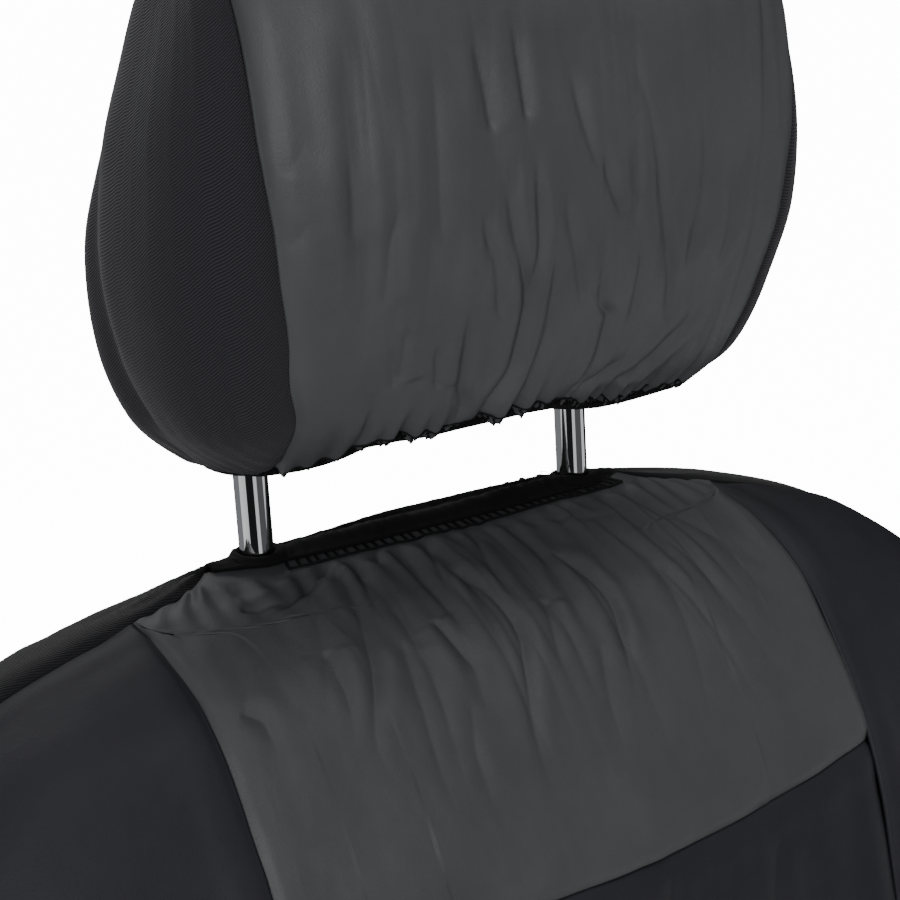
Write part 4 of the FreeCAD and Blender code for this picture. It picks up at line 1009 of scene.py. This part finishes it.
def grid_normals(P):
    a = np.gradient(P, axis=0)
    b = np.gradient(P, axis=1)
    n = np.cross(a, b)
    n /= np.linalg.norm(n, axis=-1, keepdims=True) + 1e-9
    return n


def relax(P, n, axis):
    for _ in range(n):
        if axis == 0:
            P[1:-1] = 0.5 * P[1:-1] + 0.25 * (P[2:] + P[:-2])
        else:
            P[:, 1:-1] = 0.5 * P[:, 1:-1] + 0.25 * (P[:, 2:] + P[:, :-2])
    return P


def even_columns(P, n):
    """Resample every row of a grid evenly along axis 1."""
    L = arc(P, 1)
    out = np.zeros((P.shape[0], n, 3))
    for i in range(P.shape[0]):
        q = np.linspace(0, L[i, -1] + 1e-9, n)
        for k in range(3):
            out[i, :, k] = np.interp(q, L[i], P[i, :, k])
    return out


SKZ, CX = 62.0, 150.0
crown = lambda x, y: 5.0 * np.clip(1 - (np.abs(x) / 215.0) ** 2.4, 0, 1) * np.clip(1 - (np.abs(y + 14) / 215.0) ** 2.4, 0, 1)


def mid_panel(name, cut, front, mat, nodes):
    xs = np.linspace(-CX, CX, 150)
    ph = np.linspace(0, np.pi, 500)
    base = np.zeros((150, 500, 3))
    base[..., 0] = xs[:, None]
    base[..., 1] = -17.0
    base[..., 2] = SKZ
    dirs = np.zeros_like(base)
    dirs[..., 1] = -np.cos(ph)[None]
    dirs[..., 2] = np.sin(ph)[None]
    P = cush_polar(base, dirs, 320.0)
    P = even_columns(P, 420)
    P = relax(P, 60, 1)
    part = []
    for i in range(150):
        k = int(np.searchsorted(P[i, :, 1], cut))
        part.append(P[i, :k + 1] if front else P[i, k:])
    n = 150 if front else 280
    P = np.stack([even_columns(q[None], n)[0] for q in part])
    P[..., 2] += crown(P[..., 0], P[..., 1]) * np.clip((P[..., 2] - 90) / 30.0, 0, 1)
    Nn = grid_normals(P)
    i, j = 75, (100 if front else 120)
    if Nn[i, j, 2] < 0:
        Nn = -Nn
    L1, L0 = arc(P, 1), arc(P, 0)
    D = seam_pinch(L0, 1.5, 2.6, 0.8) + seam_pinch(L0[-1:] - L0, 1.5, 2.6, 0.8)
    D += seam_pinch(L1, 1.5, 2.6, 0.8) + seam_pinch(L1[:, -1:] - L1, 1.5, 2.6, 0.8)
    D += 1.1 * fbm(L0 / 70.0 + (1 if front else 8), L1 / 70.0) + 0.24 * fbm(L0 / 18.0, L1 / 22.0 + 4)
    finish_panel(name, P, Nn, D, to_cush, mat, "seat", nodes)


mid_panel("cushion_cover_leather_front", -120.0, True, M_GREY, ["cushion_cover_front_panel"])
mid_panel("cushion_cover_leather_rear", -120.0, False, M_BLACK, ["cushion_cover_rear_panel"])

for side, nm in ((-1, "left"), (1, "right")):
    a, f, b = float(c_a(SKZ)), float(c_f(SKZ)), float(c_b(SKZ))
    yc, h = (f + b) / 2, (b - f) / 2
    y_lim = h * (1 - (CX / a) ** 4.5) ** (1 / 4.5) - 0.05
    t = np.linspace(-1, 1, 260)
    ys = yc + y_lim * np.sin(t * np.pi / 2)
    ph = np.linspace(0, np.pi / 2, 200)
    base = np.zeros((260, 200, 3))
    base[..., 0] = side * CX
    base[..., 1] = ys[:, None]
    base[..., 2] = SKZ
    dirs = np.zeros_like(base)
    dirs[..., 0] = side * np.sin(ph)[None]
    dirs[..., 2] = np.cos(ph)[None]
    P = cush_polar(base, dirs, 180.0)
    P = even_columns(P, 110)
    P = relax(P, 14, 1)
    P[..., 2] += crown(P[..., 0], P[..., 1]) * np.clip((P[..., 2] - 90) / 30.0, 0, 1)
    P[..., 2] += 3.0 * np.exp(-((np.abs(P[..., 0]) - 200) / 22.0) ** 2) * np.clip((P[..., 2] - 90) / 30.0, 0, 1)
    Nn = grid_normals(P)
    if Nn[130, 10, 2] < 0:
        Nn = -Nn
    L1, L0 = arc(P, 1), arc(P, 0)
    w_ = np.clip(L1[:, -1:] / 30.0, 0.0, 1)
    D = (seam_pinch(L1, 1.5, 2.6, 0.8) + seam_pinch(L1[:, -1:] - L1, 1.5, 2.6, 0.8) + 0.9 * fbm(L1 / 60.0 + 5 * side, L0 / 80.0)) * w_
    finish_panel("cushion_cover_leather_bolster_" + nm, P, Nn, D, to_cush, M_BLACK, "seat", ["cushion_cover_bolster_" + nm])

s62 = float(np.interp(SKZ, CB.z(S_LUT), S_LUT))
S, TH, P, Nn = panel_grid(CB, 0.0, s62, lambda s: np.pi / 2 + 0 * s, lambda s: np.pi / 2 + 2 * np.pi + 0 * s, 60, 620, th_mid=0.0)
L1, L0 = arc(P, 1), arc(P, 0)
tot = L1[:, -1:]
ph = 2 * np.pi * L1 / tot
D = seam_pinch(L0[-1:] - L0, 1.4, 2.4, 0.6) + np.exp(-L0 / 14.0) * (1.3 * np.sin(150 * ph + 2 * np.sin(11 * ph)) + 0.5 * np.sin(61 * ph))
D += 0.7 * np.sin(7 * ph + 1) * np.exp(-((L0 - 35) / 25.0) ** 2) + 0.5 * np.sin(19 * ph) * np.exp(-((L0 - 20) / 20.0) ** 2)
finish_panel("cushion_cover_fabric_skirt", P, Nn, D, to_cush, M_TWILL, "seat", ["cushion_cover_skirt"], thick=1.8)
ruffle_tube("cushion_cover_gathered_hem", CB, 0.002, to_cush, M_ELASTIC, "seat", ["cushion_cover_hem_elastic"], r=2.2, amp=0.9, n=1500, wave=9.0, seed=9)

# two flat woven straps under the cushion, one mesh
vs, fs, uvs = [], [], []
for sx in (-150.0, 150.0):
    o = len(vs)
    ny_, nx_ = 150, 13
    for i, y in enumerate(np.linspace(-240.4, 214.4, ny_)):
        for j, x in enumerate(np.linspace(-12.4, 12.4, nx_)):
            z = -4.0 - 0.9 * np.sin(np.pi * (y + 240) / 455) + 0.18 * np.sin(y / 2.0) + 0.25 * np.cos(np.pi * x / 12.4)
            vs.append((sx + x, y, z))
            uvs.append((x * MM, y * MM))
    fs += [list(f + o) for f in grid_faces(ny_, nx_)]
straps = new_mesh("cushion_straps_woven", to_cush(np.array(vs)), fs, np.array(uvs))
straps.data.materials.append(M_ELASTIC)
so = straps.modifiers.new("thickness", "SOLIDIFY")
so.thickness = 0.0014
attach(straps, "seat")
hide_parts("cover_straps")

# cushion foam: crowned block with the hollow for the pan in its underside
rings = []
ang = 2 * np.pi * np.arange(120) / 120
for z in list(np.linspace(6.5, 116, 22)):
    s = np.full(120, float(np.interp(z, CB.z(S_LUT), S_LUT)))
    P, N_ = CB.at(s, ang), CB.normal(s, ang)
    N_[:, 2] = 0
    N_ /= np.linalg.norm(N_, axis=1, keepdims=True) + 1e-9
    rings.append(P - N_ * 6.4)
    rings[-1][:, 2] = z
low = rings[0]
rc = (np.abs(np.cos(ang)) ** 9 + np.abs(np.sin(ang)) ** 9) ** (-1 / 9.0)
hole = np.stack([211.5 * rc * np.cos(ang), -10 + 209.5 * rc * np.sin(ang), 0 * ang + 6.5], 1)
hole_up = hole + np.array([0, 0, 7.8])
rings = [hole_up, hole] + rings
cx_, cy_ = rings[-1][:, 0].mean(), rings[-1][:, 1].mean()
for q in (0.96, 0.8, 0.5, 0.2):
    top_r = rings[-1 if q == 0.96 else 25 - 1].copy()
    ref = rings[23]
    rr = np.array([cx_, cy_, 0]) + (ref - np.array([cx_, cy_, 0])) * np.array([q, q, 1])
    rr[:, 2] = 118.0 + 1.4 * (1 - q)
    rings.append(rr)
m = 120
verts = np.concatenate(rings)
faces = []
for i in range(len(rings) - 1):
    for j in range(m):
        j2 = (j + 1) % m
        faces.append((i * m + j, i * m + j2, (i + 1) * m + j2, (i + 1) * m + j))
faces.append(tuple(range(m - 1, -1, -1)))
faces.append(tuple((len(rings) - 1) * m + j for j in range(m)))
cf = new_mesh("cushion_foam_pad", to_cush(verts), faces)
cf.data.materials.append(M_PAD)
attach(cf, "seat")
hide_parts("cushion_foam")

# ------------------------------------------------------------------ floor, light, camera
lo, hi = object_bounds()
bpy.ops.mesh.primitive_plane_add(size=240.0, location=(0, 0, lo[2] - 0.0003))
floor = bpy.context.object
floor.name = "studio_floor"
fm, fnt, fb = base_mat("studio_floor_look", (0.93, 0.93, 0.93, 1), 0.95, spec=0.1)
fb.inputs["Emission Color"].default_value = (1, 1, 1, 1)
lp = node(fnt, "ShaderNodeLightPath")
mr = node(fnt, "ShaderNodeMapRange")
mr.inputs["To Min"].default_value = 0.30
mr.inputs["To Max"].default_value = 14.0
fnt.links.new(lp.outputs["Is Camera Ray"], mr.inputs["Value"])
fnt.links.new(mr.outputs["Result"], fb.inputs["Emission Strength"])
floor.data.materials.append(fm)

world = bpy.data.worlds.new("studio_world")
bpy.context.scene.world = world
world.use_nodes = True
bg = world.node_tree.nodes["Background"]
bg.inputs["Color"].default_value = (1, 1, 1, 1)
wlp = world.node_tree.nodes.new("ShaderNodeLightPath")
wmr = world.node_tree.nodes.new("ShaderNodeMapRange")
wmr.inputs["To Min"].default_value = 0.34
wmr.inputs["To Max"].default_value = 14.0
world.node_tree.links.new(wlp.outputs["Is Camera Ray"], wmr.inputs["Value"])
world.node_tree.links.new(wmr.outputs["Result"], bg.inputs["Strength"])


def area_light(name, loc, target, size, power, size_y=None):
    la = bpy.data.lights.new(name, "AREA")
    la.energy = power
    la.size = size
    if size_y:
        la.shape = "RECTANGLE"
        la.size_y = size_y
    ob = bpy.data.objects.new(name, la)
    bpy.context.scene.collection.objects.link(ob)
    ob.location = loc
    d = mathutils.Vector(target) - mathutils.Vector(loc)
    ob.rotation_euler = d.to_track_quat("-Z", "Y").to_euler()
    return ob


area_light("key_light", (-1.7, -1.5, 1.8), (0, 0.4, 0.9), 1.3, 41)
area_light("fill_light", (1.7, -1.5, 1.5), (0, 0.4, 0.9), 1.6, 3)
area_light("top_light", (0.2, 0.2, 2.9), (0, 0.4, 0.8), 1.6, 12)
area_light("rear_light", (0.2, 2.6, 1.6), (0, 0.4, 0.8), 1.8, 24)

# studio flags: dark and grey cards round the object, seen only in reflections, for the chrome
for k, (a0, a1, level) in enumerate(((-180, -74, 0.20), (-26, 18, 0.012), (40, 88, 0.09), (116, 179, 0.008))):
    aa = np.radians(-125.3 + np.linspace(a0, a1, 24))
    ring = np.stack([0.9 * np.cos(aa), 0.47 + 0.9 * np.sin(aa)], 1)
    vv = [(x, y, 0.25) for x, y in ring] + [(x, y, 1.35) for x, y in ring]
    ff = [(i, i + 1, i + 25, i + 24) for i in range(23)]
    card = new_mesh("studio_flag_%d" % k, vv, ff)
    cm, cnt, cb = base_mat("studio_flag_look_%d" % k, (0, 0, 0, 1), 1.0, spec=0.0)
    cb.inputs["Emission Color"].default_value = (0.96, 0.97, 1.0, 1)
    cb.inputs["Emission Strength"].default_value = level
    card.data.materials.append(cm)
    card.visible_camera = card.visible_diffuse = card.visible_shadow = card.visible_transmission = False

cam_d = bpy.data.cameras.new("camera")
cam = bpy.data.objects.new("camera", cam_d)
bpy.context.scene.collection.objects.link(cam)
cam.location = (-0.33387, -0.01750, 1.08101)
look = mathutils.Vector((0.01156, 0.470, 0.88838)) - cam.location
cam.rotation_euler = look.to_track_quat("-Z", "Y").to_euler()
cam_d.lens, cam_d.sensor_width = 68.39, 36.0
cam_d.clip_start, cam_d.clip_end = 0.01, 60.0
bpy.context.scene.camera = cam

for o in bpy.data.objects:
    o.select_set(False)
